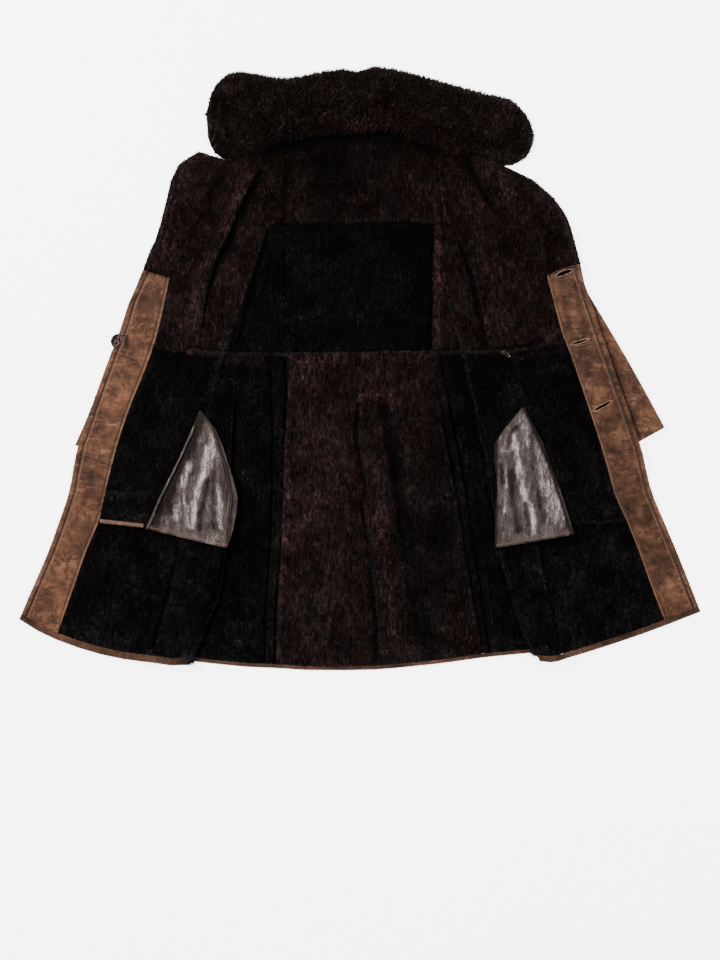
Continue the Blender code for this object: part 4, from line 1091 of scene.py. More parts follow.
class COAT_OT_skirt(bpy.types.Operator):
    """Makes the back panels below the waist"""

    bl_idname = "coat.skirt"
    bl_label = "Skirt"

    def execute(self, context):
        fur_panel("skirt_centre_r", 200, "fur_brown", -88)
        fur_panel("skirt_centre_l", 210, "fur_brown", -92)
        fur_panel("skirt_side_r", 220, "fur_black", -92)
        fur_panel("skirt_side_l", 230, "fur_black", -86)
        fur_panel("side_fold_r", 240, "fur_black", -95, held="folded")
        fur_panel("side_fold_l", 250, "fur_black", -85, held="folded")
        return {"FINISHED"}


class COAT_OT_fronts(bpy.types.Operator):
    """Makes the fronts and the gores beside them"""

    bl_idname = "coat.fronts"
    bl_label = "Fronts"

    def execute(self, context):
        for side, turn, seed in (("r", -8, 300), ("l", 8, 400)):
            on = [f"sleeve_top_{side}"]
            fur_panel(f"front_upper_{side}", seed, "fur_brown", -92 + turn, rests_on=on)
            fur_panel(f"front_middle_{side}", seed + 10, "fur_black", -94 + turn, rests_on=on)
            fur_panel(f"front_hem_{side}", seed + 20, "fur_black", -94 + turn)
            fur_panel(f"gore_{side}", seed + 30, "fur_black", -92 + turn, rests_on=[f"side_fold_{side}"])
        return {"FINISHED"}


class COAT_OT_collar(bpy.types.Operator):
    """Makes the collar and the roll of its stand"""

    bl_idname = "coat.collar"
    bl_label = "Collar"

    def execute(self, context):
        more = {"rise": 62.0, "curl": 60.0, "clump": 2.6, "stretch": 1.2, "sink": 0.0048, "size": 0.007}
        more["length"] = context.scene.coat_pile.collar_length
        fur_panel("collar", 500, "collar_fur", 75, density=1.35, **more)
        fur_panel("collar_stand", 510, "fur_brown", -80, density=1.2, **more)
        return {"FINISHED"}


class COAT_OT_sleeves(bpy.types.Operator):
    """Makes the sleeves"""

    bl_idname = "coat.sleeves"
    bl_label = "Sleeves"

    def execute(self, context):
        looks = {"rounds": 10, "shape": suede_shape, "shade": sleeve_shade}
        for side in "rl":
            for ply, rests_on in (("top", [f"sleeve_under_{side}"]), ("under", [])):
                piece = skin_piece(f"sleeve_{ply}_{side}", "suede", "suede", 0.012, **looks)
                declare(piece, rests_on)
        return {"FINISHED"}


FACINGS_R = ("facing_upper_r", "facing_middle_r", "facing_lower_r")
FACINGS_L = ("facing_upper_l", "facing_lower_l")
BAG_R = ("pocket_ply_top_r", "pocket_ply_under_r")
BAG_L = ("pocket_ply_top_l", "pocket_ply_under_l")
# The fronts' outer edges and their facings' inner ones: y, right edge, right facing, left facing, left edge
FRONT_LINES = np.array(
    (
        (-439, -598, -521, 531, 601),
        (-390, -577, -504, 512, 582),
        (-320, -547, -480, 487, 554),
        (-268, -528, -458, 466, 532),
        (-220, -512, -446, 444, 512),
        (-135, -493, -424, 419, 489),
        (-65, -468, -400, 396, 465),
        (26, -435, -364, 365, 433),
        (52, -424, -356, 354, 424),
        (117, -403, -340, 336, 402),
        (160, -383, -331, 325, 388),
        (184, -376, -322, 319, 384),
    ),
    float,
)
# Wrinkles in the facings: height, half width, path
WRINKLES = (
    (-1.3, 4.0, ((-545, -318), (-520, -338), (-498, -362))),
    (-1.1, 3.5, ((-536, -290), (-510, -300), (-484, -326))),
    (-1.0, 4.0, ((-556, -366), (-530, -384), (-512, -402))),
    (0.9, 5.0, ((-530, -328), (-508, -346))),
    (-0.8, 5.0, ((-468, -190), (-484, -240), (-500, -268))),
    (-0.8, 6.0, ((-410, 150), (-404, 96), (-412, 62))),
    (-0.7, 5.0, ((-372, 140), (-384, 80), (-396, 30))),
    (-1.3, 4.0, ((468, -246), (490, -268), (512, -296))),
    (-1.2, 4.0, ((480, -300), (506, -318), (530, -344))),
    (-1.1, 3.5, ((494, -352), (520, -372), (548, -396))),
    (-0.9, 4.0, ((510, -266), (496, -300), (502, -336))),
    (0.9, 5.0, ((486, -282), (510, -306))),
    (-0.8, 5.0, ((352, 140), (362, 90), (352, 60))),
    (-0.8, 6.0, ((420, -90), (440, -140), (452, -200))),
    (-0.7, 5.0, ((378, 140), (388, 90), (404, 48))),
)
# Darker and lighter patches of the suede: x, y, half width, half height, how much. Most are stains and uneven
# colour; the narrow dark one beside the knot is its painted shadow
SUEDE_PATCHES = (
    (-470, -232, 18, 12, -0.45),
    (-520, -330, 26, 22, -0.30),
    (-545, -400, 26, 26, -0.15),
    (-400, 120, 26, 60, -0.22),
    (-440, -100, 24, 60, 0.12),
    (-500, -270, 16, 40, 0.12),
    (500, -290, 22, 34, -0.30),
    (520, -360, 26, 22, -0.25),
    (555, -420, 26, 16, -0.15),
    (370, 120, 26, 30, -0.22),
    (440, 0, 120, 500, -0.22),
    (-300, -512, 14, 12, -0.80),
    (480, -330, 60, 120, -0.10),
    # the knot's painted shadow
    (-408, 46, 4, 16, -0.75),
    (378, 60, 40, 90, -0.12),
    (470, -110, 40, 60, -0.10),
    (500, -330, 60, 60, 0.07),
    (410, -30, 22, 40, 0.10),
    (440, -190, 20, 40, -0.12),
    (470, 0, 30, 60, -0.12),
    (520, -90, 26, 20, -0.18),
    (-480, -60, 12, 60, 0.08),
)


WRINKLE_FADE = 14.0  # mm from the inner edge, over which the wrinkles grow to their depth


def facing_distances(x, y):
    """How far each point is inside its facing's outer edge and inner edge."""
    rows = [np.interp(y, FRONT_LINES[:, 0], FRONT_LINES[:, k]) for k in range(1, 5)]
    outer = np.where(x < 0, x - rows[0], rows[3] - x)
    inner = np.where(x < 0, rows[1] - x, x - rows[2])
    return outer, inner


def bell(value, centre, width):
    return np.exp(-(((value - centre) / width) ** 2))


def suede_shape(x, y):
    """Unevenness of suede, in mm."""
    return 1.1 * noise(x, y, 38.0, 21) + 0.65 * noise(x, y, 16.0, 22) + 0.2 * noise(x, y, 8.0, 25)


def suede_shade(x, y):
    """Lighter and darker places of the suede, round 1."""
    tone = np.ones(x.shape) + 0.20 * noise(x, y, 32.0, 23)
    tone = tone + 0.20 * noise(x, y, 13.0, 24) + 0.14 * noise(x, y, 7.0, 26)
    for *place, shade in SUEDE_PATCHES:
        tone += shade * patch(x, y, *place)
    return tone


def facing_shape(x, y):
    """A facing's rolled edges, the sewn grooves beside them and its wrinkles, in mm."""
    outer, inner = facing_distances(x, y)
    height = suede_shape(x, y)
    height += 0.8 * bell(outer, 5.5, 3.2) - 1.6 * bell(outer, OUTER_GROOVE, 2.2) + 0.5 * bell(outer, 15.0, 3.0)
    height += 0.9 * bell(inner, 2.4, 2.4) - 1.2 * bell(inner, INNER_GROOVE, 1.9)
    for rise, half_width, path in WRINKLES:
        wrinkle = profile(path_offset(x, y, path)[0], half_width)
        height += 1.6 * rise * wrinkle * np.clip(inner / WRINKLE_FADE, 0, 1)
    return height


def facing_shade(x, y):
    outer, inner = facing_distances(x, y)
    # Painted light on the rolled outer edge, painted shade in the groove beside it, raised wrinkles painted
    # lighter and sunk ones darker
    tone = suede_shade(x, y) + 0.12 * bell(outer, 5.0, 3.5) - 0.25 * bell(outer, OUTER_GROOVE, 4.0)
    for rise, half_width, path in WRINKLES:
        tone += 0.22 * np.sign(rise) * profile(path_offset(x, y, path)[0], 1.2 * half_width)
    return tone


def hem_shade(x, y):
    return suede_shade(x, y) * (0.52 + 0.30 * noise(x, y, 26.0, 41))


SLEEVE_SHADE_REACH = 7.0  # mm of sleeve that lie in the shade of the front's edge
SLEEVE_LIGHT = (0.62, 0.26)  # how much lighter the right sleeve and the left one are


def sleeve_shade(x, y):
    outside = np.maximum(-facing_distances(x, y)[0], 0)
    tone = suede_shade(x, y) + np.where(x < 0, *SLEEVE_LIGHT)
    return tone * (1 - 0.72 * bell(outside, 0.0, SLEEVE_SHADE_REACH))


# Stitched lines round the top buttonhole, then the other seams and lines of the suede
TOP_ARCS = (
    ((336, 164), (345, 173), (358, 179), (371, 180), (379, 174)),
    ((338, 160), (346, 168), (358, 174), (370, 175), (377, 170)),
    ((350, 154), (366, 160), (380, 168)),
)
SUEDE_SEAMS = (
    *TOP_ARCS,
    ((-431, 26), (-372, 5)),
    ((-489, -152), (-435, -171)),
    ((372, 33), (402, 40)),
    ((-478, -120), (-458, -122)),
    ((500, -118), (535, -100)),
    ((-480, -112), (-468, -120)),
)


SHALLOW = 1.35  # mm: the groove of the wearer's right facing is soft, as if seen from this far


def suede_lines(x, y):
    """Distances to a facing's edges, and to the nearest seam or wrinkle, in mm."""
    outer, inner = facing_distances(x, y)
    off = outer - OUTER_GROOVE
    outer = OUTER_GROOVE + np.where(x < 0, np.sign(off) * np.maximum(np.abs(off), SHALLOW), off)
    line = np.full(x.shape, FAR)
    for path in SUEDE_SEAMS:
        line = np.minimum(line, path_offset(x, y, path)[0])
    for rise, half_width, path in WRINKLES:
        if rise < -0.9:
            line = np.minimum(line, path_offset(x, y, path)[0] + 0.5)
    return outer, inner, line


# The buttonholes: their ends, and how far the upper and the lower lip stand open
BUTTONHOLES = (
    ((341, 159), (371, 170), 4.4, 1.6),
    ((367, 40), (400, 50), 1.7, 1.1),
    ((406, -76), (440, -58), 2.2, 1.6),
)
LIP_REACH = 9.0  # mm of leather that move with an open lip


def open_slits(bm):
    """Lets the buttonholes stand open a little."""
    spots = np.array([v.co for v in bm.verts])
    x, y = to_coat(spots)
    for (ax, ay), (bx, by), above, below in BUTTONHOLES:
        half = math.hypot(bx - ax, by - ay) / 2
        ux, uy = (bx - ax) / (2 * half), (by - ay) / (2 * half)
        along = ((x - (ax + bx) / 2) * ux + (y - (ay + by) / 2) * uy) / half
        beside = (y - (ay + by) / 2) * ux - (x - (ax + bx) / 2) * uy
        open_by = np.clip(1 - along**4, 0, 1) * np.clip(1 - np.abs(beside) / LIP_REACH, 0, 1)
        push = np.where(beside > 0, above, -below) * open_by
        x, y = x - uy * push, y + ux * push
    for v, px, py in zip(bm.verts, x, y):
        moved = to_frame(px, py)
        v.co.x, v.co.y = moved.x, moved.y


class COAT_OT_facings(bpy.types.Operator):
    """Makes the suede facings down the front edges"""

    bl_idname = "coat.facings"
    bl_label = "Facings"

    def execute(self, context):
        looks = {"rounds": 30, "shape": facing_shape, "shade": facing_shade, "lines": suede_lines}
        made = {node: skin_piece(node, "suede", "suede", 0.0034, **looks) for node in FACINGS_R + FACINGS_L}
        sewn = {"facing_middle_r": [facing_stitches_r()], "facing_upper_l": [facing_stitches_l(), lips()]}
        for node, piece in made.items():
            declare(piece, [f"front_middle_{node[-1]}"], sewn.get(node, ()))
        return {"FINISHED"}


class COAT_OT_hems(bpy.types.Operator):
    """Makes the turned-up hems"""

    bl_idname = "coat.hems"
    bl_label = "Hems"

    def execute(self, context):
        for node in ("hem_back", "hem_front_r", "hem_front_l", "hem_gore_r", "hem_gore_l"):
            piece = skin_piece(node, "suede", "suede", 0.006, rounds=2, shape=suede_shape, shade=hem_shade)
            declare(piece, [])
        return {"FINISHED"}


# Strong creases of the pocket bags: height, half width, path
BAG_CREASES = (
    (1.8, 3.6, ((-268, -140), (-276, -185), (-284, -225), (-293, -278))),
    (1.2, 3.0, ((-281, -112), (-286, -140), (-295, -180))),
    (1.4, 4.8, ((-300, -172), (-310, -205), (-322, -262))),
    (1.2, 3.8, ((-256, -128), (-262, -160), (-270, -190))),
    (1.0, 3.0, ((-247, -205), (-245, -240), (-244, -280))),
    (1.0, 2.5, ((-340, -238), (-346, -262))),
    (1.2, 2.5, ((-306, -236), (-300, -276))),
    (-1.6, 2.8, ((-285, -118), (-289, -160), (-292, -185))),
    (-1.4, 3.2, ((-266, -196), (-274, -236), (-280, -280))),
    (-1.4, 3.4, ((-256, -180), (-257, -230), (-256, -278))),
    (-1.0, 7.0, ((-322, -220), (-334, -250))),
    (-1.0, 5.0, ((-238, -180), (-236, -230))),
    (1.9, 3.6, ((267, -117), (275, -166), (281, -208), (288, -230), (298, -240), (302, -288))),
    (1.3, 2.4, ((253, -177), (255, -219), (252, -250))),
    (1.3, 4.0, ((284, -86), (287, -110), (290, -135))),
    (1.2, 12.0, ((312, -150), (326, -195), (346, -250))),
    (1.3, 2.6, ((349, -281), (358, -262))),
    (1.0, 5.0, ((248, -148), (254, -136), (262, -140))),
    (-1.8, 3.0, ((245, -172), (248, -200))),
    (-1.7, 4.0, ((262, -180), (266, -232), (276, -284))),
    (-1.8, 2.4, ((256, -140), (262, -116), (272, -104))),
    (-1.2, 3.0, ((290, -252), (294, -288))),
    (-1.3, 3.0, ((296, -120), (302, -170), (312, -230), (320, -270))),
)
# The edges of the bags, and how far the shade beside them reaches in mm
BAG_EDGES = (
    (10.0, ((-277, -84), (-324, -190), (-364, -276))),
    (3.0, ((-262, -90), (-236, -170), (-224, -225), (-232, -315))),
    (3.0, ((288, -76), (330, -170), (370, -292))),
    (3.0, ((236, -126), (235, -315))),
)


def bag_height(x, y):
    height = 0.5 * noise(x, y * 0.2, 8.0, 31) + 0.5 * noise(x, y * 0.35, 4.5, 32)
    for rise, half_width, path in BAG_CREASES:
        height += rise * profile(path_offset(x, y, path)[0], 1.3 * half_width)
    return height


def bag_shape(x, y):
    """The wrinkles of a pocket bag, in mm: the strong ones listed and small ones along it."""
    return np.maximum(bag_height(x, y), -0.6)


def bag_shade(x, y):
    # Painted light and shade: ridges lighter and creases darker, and a painted shadow along the bags' edges
    tone = 0.98 + 0.40 * bag_height(x, y) + 0.12 * noise(x, y, 12.0, 33)
    for reach, path in BAG_EDGES:
        tone -= 1.3 * np.exp(-((path_offset(x, y, path)[0] / reach) ** 2))
    return tone


class COAT_OT_pockets(bpy.types.Operator):
    """Makes the pocket bags and the tape beside one of them"""

    bl_idname = "coat.pockets"
    bl_label = "Pockets"

    def execute(self, context):
        looks = {"top": {"shape": bag_shape, "shade": bag_shade}, "under": {"shade": bag_shade}, "r": {}}
        made = {}
        for node in (*reversed(BAG_R), *reversed(BAG_L), "pocket_edging_r"):
            kind = node.split("_")[2]
            made[node] = skin_piece(node, "pocket_leather", "pocket leather", 0.0026, **looks[kind])
        sewn = {
            "pocket_ply_top_r": [bag_stitches_r()],
            "pocket_ply_top_l": [bag_stitches_l()],
            "pocket_edging_r": [edging_stitches_r()],
        }
        for node, piece in made.items():
            declare(piece, [f"front_middle_{node[-1]}"], sewn.get(node, ()))
        piece = skin_piece("stay_tape_r", "suede", "tape", 0.004, name="stay_tape_r_strip", rounds=2)
        declare(piece, ["front_middle_r", "front_hem_r"])
        return {"FINISHED"}


# Small sewn things


def surface(nodes, x, y):
    """The height of the highest of these skins at a place, in metres."""
    top = 0.0
    for node in nodes:
        hit = SURFACES[node].ray_cast(to_frame(x, y, 0.2), Vector((0, 0, -1)))
        if hit[0] is not None:
            top = max(top, hit[0].z)
    return top


def mesh_piece(name, slot, finish, points, faces):
    mesh = bpy.data.meshes.new(name)
    mesh.from_pydata([tuple(p) for p in points], [], [tuple(int(i) for i in face) for face in faces])
    mesh.update()
    mesh.polygons.foreach_set("use_smooth", [True] * len(mesh.polygons))
    mesh.materials.append(material(finish))
    return place_piece(name, mesh)


def tube(path, radius, closed=False, sides=8):
    """Points and faces of a tube along points in metres, tapered at open ends."""
    path = [Vector(p) for p in path]
    count = len(path)
    points, faces = [], []
    for i, place in enumerate(path):
        before = path[i - 1 if closed else max(i - 1, 0)]
        after = path[(i + 1) % count if closed else min(i + 1, count - 1)]
        way = (after - before).normalized()
        beside = way.cross(Vector((0, 0, 1)))
        beside = beside.normalized() if beside.length > 0.05 else Vector((1, 0, 0))
        up = beside.cross(way)
        thick = radius if closed or 0 < i < count - 1 else 0.45 * radius
        for k in range(sides):
            turn = 2 * math.pi * k / sides
            points.append(place + (beside * math.cos(turn) + up * math.sin(turn)) * thick)
    rings = count if closed else count - 1
    for i in range(rings):
        a, b = i * sides, (i + 1) % count * sides
        for k in range(sides):
            m = (k + 1) % sides
            faces.append((a + k, b + k, b + m, a + m))
    if not closed:
        faces.append(tuple(range(sides)))
        faces.append(tuple(reversed(range((count - 1) * sides, count * sides))))
    return points, faces


def joined(parts):
    points, faces = [], []
    for more_points, more_faces in parts:
        faces += [tuple(i + len(points) for i in face) for face in more_faces]
        points += more_points
    return points, faces


def walk(path, step):
    """Places along a path in mm with the direction there."""
    places, left = [], 0.5 * step
    for (ax, ay), (bx, by) in zip(path, path[1:]):
        run = math.hypot(bx - ax, by - ay)
        ux, uy = (bx - ax) / run, (by - ay) / run
        while left < run:
            places.append((ax + ux * left, ay + uy * left, ux, uy))
            left += step
        left -= run
    return places


def stitch():
    """One stitch along X, a unit long, wide and high."""
    deselect()
    bpy.ops.mesh.primitive_uv_sphere_add(segments=6, ring_count=4, radius=0.5, rotation=(0, math.pi / 2, 0))
    ball = bpy.context.object
    bpy.ops.object.transform_apply(location=False, rotation=True, scale=False)
    points = np.array([v.co for v in ball.data.vertices])
    faces = [tuple(p.vertices) for p in ball.data.polygons]
    mesh = ball.data
    bpy.data.objects.remove(ball)
    bpy.data.meshes.remove(mesh)
    return points, faces


def stitches(name, slot, finish, nodes, runs, seed):
    """Stitches along runs: step, length, width and turn from the run, then the path, in mm and degrees."""
    base, base_faces = stitch()
    rng = np.random.default_rng(seed)
    points, faces = [], []
    for step, length, width, turned, path in runs:
        for x, y, ux, uy in walk(path, step):
            if surface(nodes, x, y) == 0.0:
                continue
            turn = math.radians(turned + rng.normal(0, 4))
            dx = ux * math.cos(turn) - uy * math.sin(turn)
            dy = ux * math.sin(turn) + uy * math.cos(turn)
            ends = []
            for reach in (-0.35 * length, 0.35 * length):
                ends.append(surface(nodes, x + reach * dx, y + reach * dy))
            middle = surface(nodes, x, y)
            ends = [z if z > middle - 0.002 else middle - 0.0006 for z in ends]
            slope = (ends[1] - ends[0]) / (0.7 * length * MM)
            along = base[:, 0] * length * MM * rng.uniform(0.9, 1.1)
            beside = base[:, 1] * width * MM
            place = to_frame(x, y, max(middle, sum(ends) / 2) + 0.15 * width * MM)
            first = len(points)
            for a, b, c in zip(along, beside, base[:, 2] * 0.8 * width * MM):
                points.append((place.x + a * dx - b * dy, place.y + a * dy + b * dx, place.z + c + a * slope))
            faces += [tuple(i + first for i in face) for face in base_faces]
    return mesh_piece(name, slot, finish, points, faces)


def beside_edge(column, inward):
    """A path that runs inside a line of the fronts, from the foot up."""
    return [(row[column] + inward, row[0]) for row in FRONT_LINES[1:]]


FOOT_R, FOOT_L = ((-374, -280), (-234, -312)), ((237, -312), (368, -290))  # of the bags


def raised(path, up):
    return [(x, y + up) for x, y in path]


LIP_RADIUS = 0.0007  # m
STEP = 0.002  # m: a greater step in height isn't the facing's own


def lips():
    """The bound edges of the buttonholes."""
    parts = []
    for (ax, ay), (bx, by), above, below in BUTTONHOLES:
        half = math.hypot(bx - ax, by - ay) / 2
        ux, uy = (bx - ax) / (2 * half), (by - ay) / (2 * half)
        for side, gap in ((1, above + 0.7), (-1, below + 0.7)):
            line = []
            for i in range(13):
                t = -1.06 + 2.12 * i / 12
                off = side * (gap * max(0.0, 1 - t**4) + 0.25)
                x = (ax + bx) / 2 + ux * half * t - uy * off
                y = (ay + by) / 2 + uy * half * t + ux * off
                line.append((x, y))
            level = [surface(FACINGS_L, x, y) for x, y in line]
            high = float(np.median([z for z in level if z > 0]))
            level = [z if abs(z - high) < STEP else high for z in level]
            line = [to_frame(x, y, z + 0.0004) for (x, y), z in zip(line, level)]
            parts.append(tube(line, LIP_RADIUS))
    return mesh_piece("buttonhole_lips", "suede", "bound edge", *joined(parts))


# Kinds of stitch: step, length and width in mm, and the turn in degrees
LONG_STITCH, ARC_STITCH, SMALL_STITCH = (3.8, 2.7, 0.7, 0), (2.8, 2.0, 0.7, 0), (3.0, 2.2, 0.6, 0)


def facing_stitches_r():
    rows = [(*LONG_STITCH, beside_edge(1, OUTER_GROOVE)), (*LONG_STITCH, beside_edge(2, -INNER_GROOVE))]
    return stitches("facing_stitches_r", "suede", "thread", FACINGS_R, rows, 910)


def facing_stitches_l():
    rows = [(*LONG_STITCH, beside_edge(4, -OUTER_GROOVE)), (*LONG_STITCH, beside_edge(3, INNER_GROOVE))]
    rows += [(*ARC_STITCH, path) for path in TOP_ARCS]
    for (ax, ay), _end, _above, _below in BUTTONHOLES:
        rows.append((1.1, 5.5, 0.8, 90, ((ax - 2.2, ay - 0.8), (ax + 0.8, ay + 0.3))))
    return stitches("facing_stitches_l", "suede", "light thread", FACINGS_L, rows, 920)


def bag_stitches_r():
    rows = [(1.9, 4.6, 0.85, 78, raised(FOOT_R, 2.4)), (*SMALL_STITCH, raised(FOOT_R, 7.0))]
    rows += [(*SMALL_STITCH, ((-268, -96), (-241, -172), (-229, -226), (-237, -305)))]
    rows += [(*SMALL_STITCH, ((-262, -96), (-236, -172), (-225, -226), (-232, -309)))]
    return stitches("bag_stitches_r", "pocket_leather", "light thread", BAG_R, rows, 930)


def bag_stitches_l():
    rows = [(1.9, 4.6, 0.85, 98, raised(FOOT_L, 2.4)), (*SMALL_STITCH, raised(FOOT_L, 7.0))]
    return stitches("bag_stitches_l", "pocket_leather", "light thread", BAG_L, rows, 940)


def edging_stitches_r():
    path = ((-374, -281), (-330, -200), (-302, -146), (-290, -100), (-282, -82))
    rows = [(1.7, 3.6, 0.7, 70, path)]
    return stitches("edging_stitches_r", "pocket_leather", "light thread", ("pocket_edging_r",), rows, 950)


def turned(at, turn, along, beside):
    """A place beside a point, in mm, in axes turned by an angle."""
    x = at[0] + along * math.cos(turn) - beside * math.sin(turn)
    return x, at[1] + along * math.sin(turn) + beside * math.cos(turn)


# Place in mm, turn, half the length in mm and the length of one twist in mm
KNOT_AT, KNOT_TURN, KNOT_HALF, KNOT_PITCH = (-420.0, 48.0), math.radians(50), 15.0, 13.0


def knot():
    """A toggle plaited of three leather strands."""
    level = surface(FACINGS_R, -414, 46) + 0.0034
    parts = []
    for strand in range(3):
        line = []
        for i in range(41):
            along = KNOT_HALF * (i / 20 - 1)
            turn = 2 * math.pi * (along / KNOT_PITCH + strand / 3)
            close = math.sqrt(max(0.0, 1 - (along / (KNOT_HALF + 1.0)) ** 2))
            beside, up = 4.8 * close * math.sin(turn), 1.6 * close * math.sin(2 * turn)
            line.append(to_frame(*turned(KNOT_AT, KNOT_TURN, along, beside), level + up * MM))
        parts.append(tube(line, 0.00085))
    return joined(parts)


LOOP_AT, LOOP_TURN = (254.0, 24.0), math.radians(-33)


def hairpin(level):
    """A narrow loop of wire."""
    line = []
    for i in range(28):
        turn = 2 * math.pi * i / 28
        along, beside = 6.2 * math.cos(turn), 2.3 * math.sin(turn)
        along += 1.6 * (1 if math.cos(turn) > 0 else -1)
        line.append(to_frame(*turned(LOOP_AT, LOOP_TURN, along, beside), level))
    return tube(line, 0.00038, closed=True)


# Curls of the lining's pile that show past the hem: x, y, radius, locks, direction, length in mm
HEM_CURLS = (
    (-304, -506, 8, 300, -80, 10.0),
    (-367, -497, 5, 120, -80, 8.0),
    (-296, -508, 7, 200, -70, 9.0),
    (305, -493, 7, 220, -110, 10.0),
    (318, -489, 8, 260, -70, 10.0),
    (-262, -86, 4, 70, 40, 8.0),
)


CURL_WIDTH = 0.0005  # m
CURL_TONE = 1.28


def curls(nodes):
    """Loose curls on these skins."""
    rng = np.random.default_rng(900)
    roots, tips = [], []
    for x, y, radius, count, turn, length in HEM_CURLS:
        for _ in range(count):
            a, r = rng.uniform(0, 2 * math.pi), radius * math.sqrt(rng.random())
            root = to_frame(x + r * math.cos(a), y + r * math.sin(a), surface(nodes, x, y) + 0.001)
            way = math.radians(turn + rng.normal(0, 32))
            reach = length * rng.uniform(0.6, 1.1) * MM
            roots.append(root)
            tips.append(root + Vector((math.cos(way), math.sin(way), rng.uniform(0.1, 0.5))) * reach)
    total = len(roots)
    up = np.tile((0.0, 0.0, 1.0), (total, 1))
    root, tip, tint = np.array(roots), np.array(tips), rng.random(total)
    width, tone = np.full(total, CURL_WIDTH), np.full(total, CURL_TONE)
    return lock_piece("pile_curls", "black pile", rng, root, up, tip, width, tint, tone)


class COAT_OT_trimmings(bpy.types.Operator):
    """Makes the plaited knot, the wire loop and the loose curls of the pile"""

    bl_idname = "coat.trimmings"
    bl_label = "Trimmings"

    def execute(self, context):
        # The buttons are near black as painted shade in the gaps of the plait that lies over one of them
        for node in ("button_r_1", "button_r_2", "button_r_3"):
            for place in NODES[node].material_slots:
                place.material = material("button leather")
        tied = mesh_piece("knot_plait", "horn", "plait leather", *knot())
        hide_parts("button_knot_r")
        low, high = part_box("waist_loop_l")
        pin = mesh_piece("waist_hairpin", "wire", "wire", *hairpin((low.z + high.z) / 2))
        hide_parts("waist_loop_l")
        curls(list(SURFACES))
        return {"FINISHED"}


FLOOR_SIZE, FLOOR_LEVEL = 14.0, -0.0005  # m
PICTURE_TALL = 960 * 1.75  # mm
PICTURE_MIDDLE = (-0.875, -196)  # mm
SHARP_HEIGHT = 0.014  # m over the floor
SENSOR = 36.0  # mm
# Place and size in m, and the share of the main light's strength
LIGHTS = {
    "main light": ((-1.35, 0.95, 2.25), (1.1, 0.9), 1.0),
    "fill light": ((1.7, 0.3, 2.3), (1.2, 1.2), 0.35),
}


def under_coat(s):
    """1 on the floor that the coat hides, 0 round it."""
    x, y, _z = s.split(s.place())
    width = 0.34 - y * 0.35 - x.do("ABSOLUTE")
    length = (y + 0.51 - x * x * 0.2).smooth(0.0, 0.02)
    return width.smooth(-0.01, 0.02) * length * (0.47 - y).smooth(0.0, 0.02)


def floor_material(settings):
    s = Shader("pale floor")
    pale = tuple(settings.floor)
    return s.finish(
        Base_Color=s.mix(s.noise(s.place(), 8.0, 2.0, 0.5), scaled(pale, 0.985), pale),
        Roughness=0.95,
        Specular_IOR_Level=0.1,
        Emission_Color=s.mix(under_coat(s), (1.0, 1.0, 1.0), (0.0, 0.0, 0.0)),
        Emission_Strength=settings.glow,
    )


def area_light(name, place, size, watts):
    """A light that looks at the coat."""
    data = bpy.data.lights.new(name, "AREA")
    data.shape, data.size, data.size_y, data.energy = "RECTANGLE", size[0], size[1], watts
    lamp = bpy.data.objects.new(name, data)
    lamp.location = place
    lamp.rotation_euler = (-Vector(place)).to_track_quat("-Z", "Y").to_euler()
    bpy.context.scene.collection.objects.link(lamp)


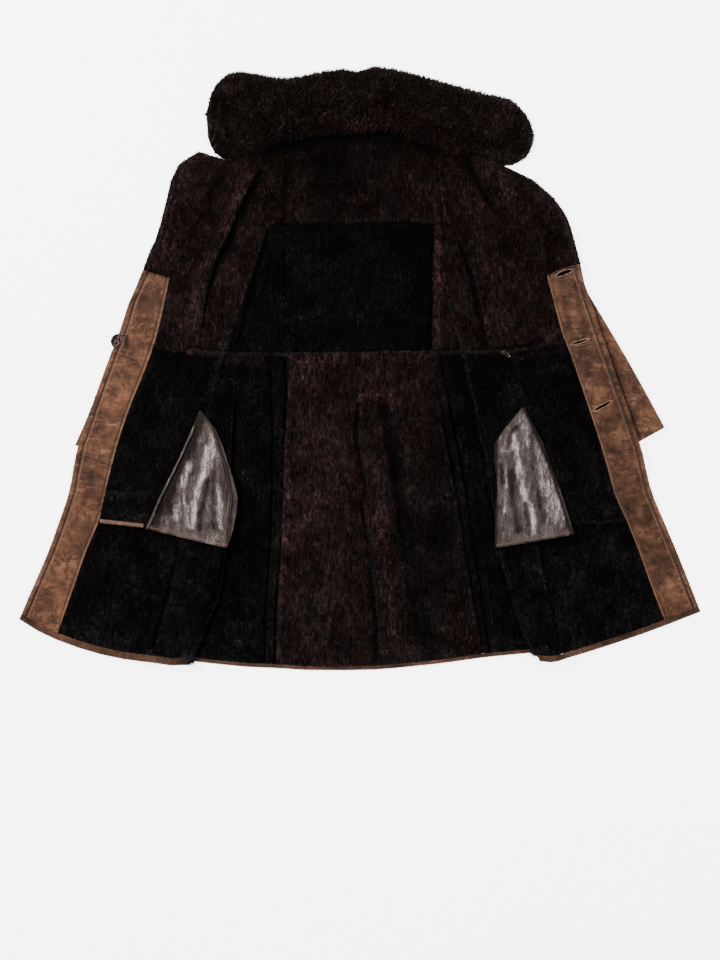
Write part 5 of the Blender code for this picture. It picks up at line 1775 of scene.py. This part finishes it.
class COAT_OT_stage(bpy.types.Operator):
    """Makes the floor, the lights and the camera"""

    bl_idname = "coat.stage"
    bl_label = "Stage"

    def execute(self, context):
        scene, settings = context.scene, context.scene.coat_stage
        deselect()
        bpy.ops.mesh.primitive_plane_add(size=FLOOR_SIZE, location=(0, 0, FLOOR_LEVEL))
        ground = context.object
        ground.name = "floor"
        ground.data.materials.append(floor_material(settings))
        for name, (place, size, share) in LIGHTS.items():
            area_light(name, place, size, share * settings.light)
        world = bpy.data.worlds.new("studio")
        world.use_nodes = True
        world.node_tree.nodes["Background"].inputs[0].default_value = (1, 1, 1, 1)
        world.node_tree.nodes["Background"].inputs[1].default_value = settings.around
        scene.world = world

        camera = bpy.data.cameras.new("camera")
        camera.sensor_width, camera.sensor_fit, camera.lens = SENSOR, "AUTO", settings.lens
        seat = bpy.data.objects.new("camera", camera)
        seat.location = to_frame(*PICTURE_MIDDLE, SHARP_HEIGHT + PICTURE_TALL * MM * settings.lens / SENSOR)
        scene.collection.objects.link(seat)
        scene.camera = seat
        return {"FINISHED"}


class COAT_PT_panel(bpy.types.Panel):
    """Lists the coat's makers in the sidebar"""

    bl_label = "Shearling Coat"
    bl_idname = "COAT_PT_panel"
    bl_space_type = "VIEW_3D"
    bl_region_type = "UI"
    bl_category = "Coat"

    def draw(self, context):
        for group in (context.scene.coat_pile, context.scene.coat_leather, context.scene.coat_stage):
            box = self.layout.box()
            for key in group.bl_rna.properties.keys():
                if key not in ("rna_type", "name"):
                    box.prop(group, key)
        for operator in OPERATORS:
            self.layout.operator(operator.bl_idname)


OPERATORS = (
    COAT_OT_back,
    COAT_OT_skirt,
    COAT_OT_fronts,
    COAT_OT_collar,
    COAT_OT_sleeves,
    COAT_OT_facings,
    COAT_OT_hems,
    COAT_OT_pockets,
    COAT_OT_trimmings,
    COAT_OT_stage,
)
CLASSES = (CoatPile, CoatLeather, CoatStage, *OPERATORS, COAT_PT_panel)


def register():
    for item in CLASSES:
        bpy.utils.register_class(item)
    bpy.types.Scene.coat_pile = PointerProperty(type=CoatPile)
    bpy.types.Scene.coat_leather = PointerProperty(type=CoatLeather)
    bpy.types.Scene.coat_stage = PointerProperty(type=CoatStage)


def unregister():
    del bpy.types.Scene.coat_stage, bpy.types.Scene.coat_leather, bpy.types.Scene.coat_pile
    for item in reversed(CLASSES):
        bpy.utils.unregister_class(item)


def main():
    register()
    for operator in OPERATORS:
        group, name = operator.bl_idname.split(".")
        getattr(getattr(bpy.ops, group), name)()
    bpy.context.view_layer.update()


if __name__ == "__main__":
    main()
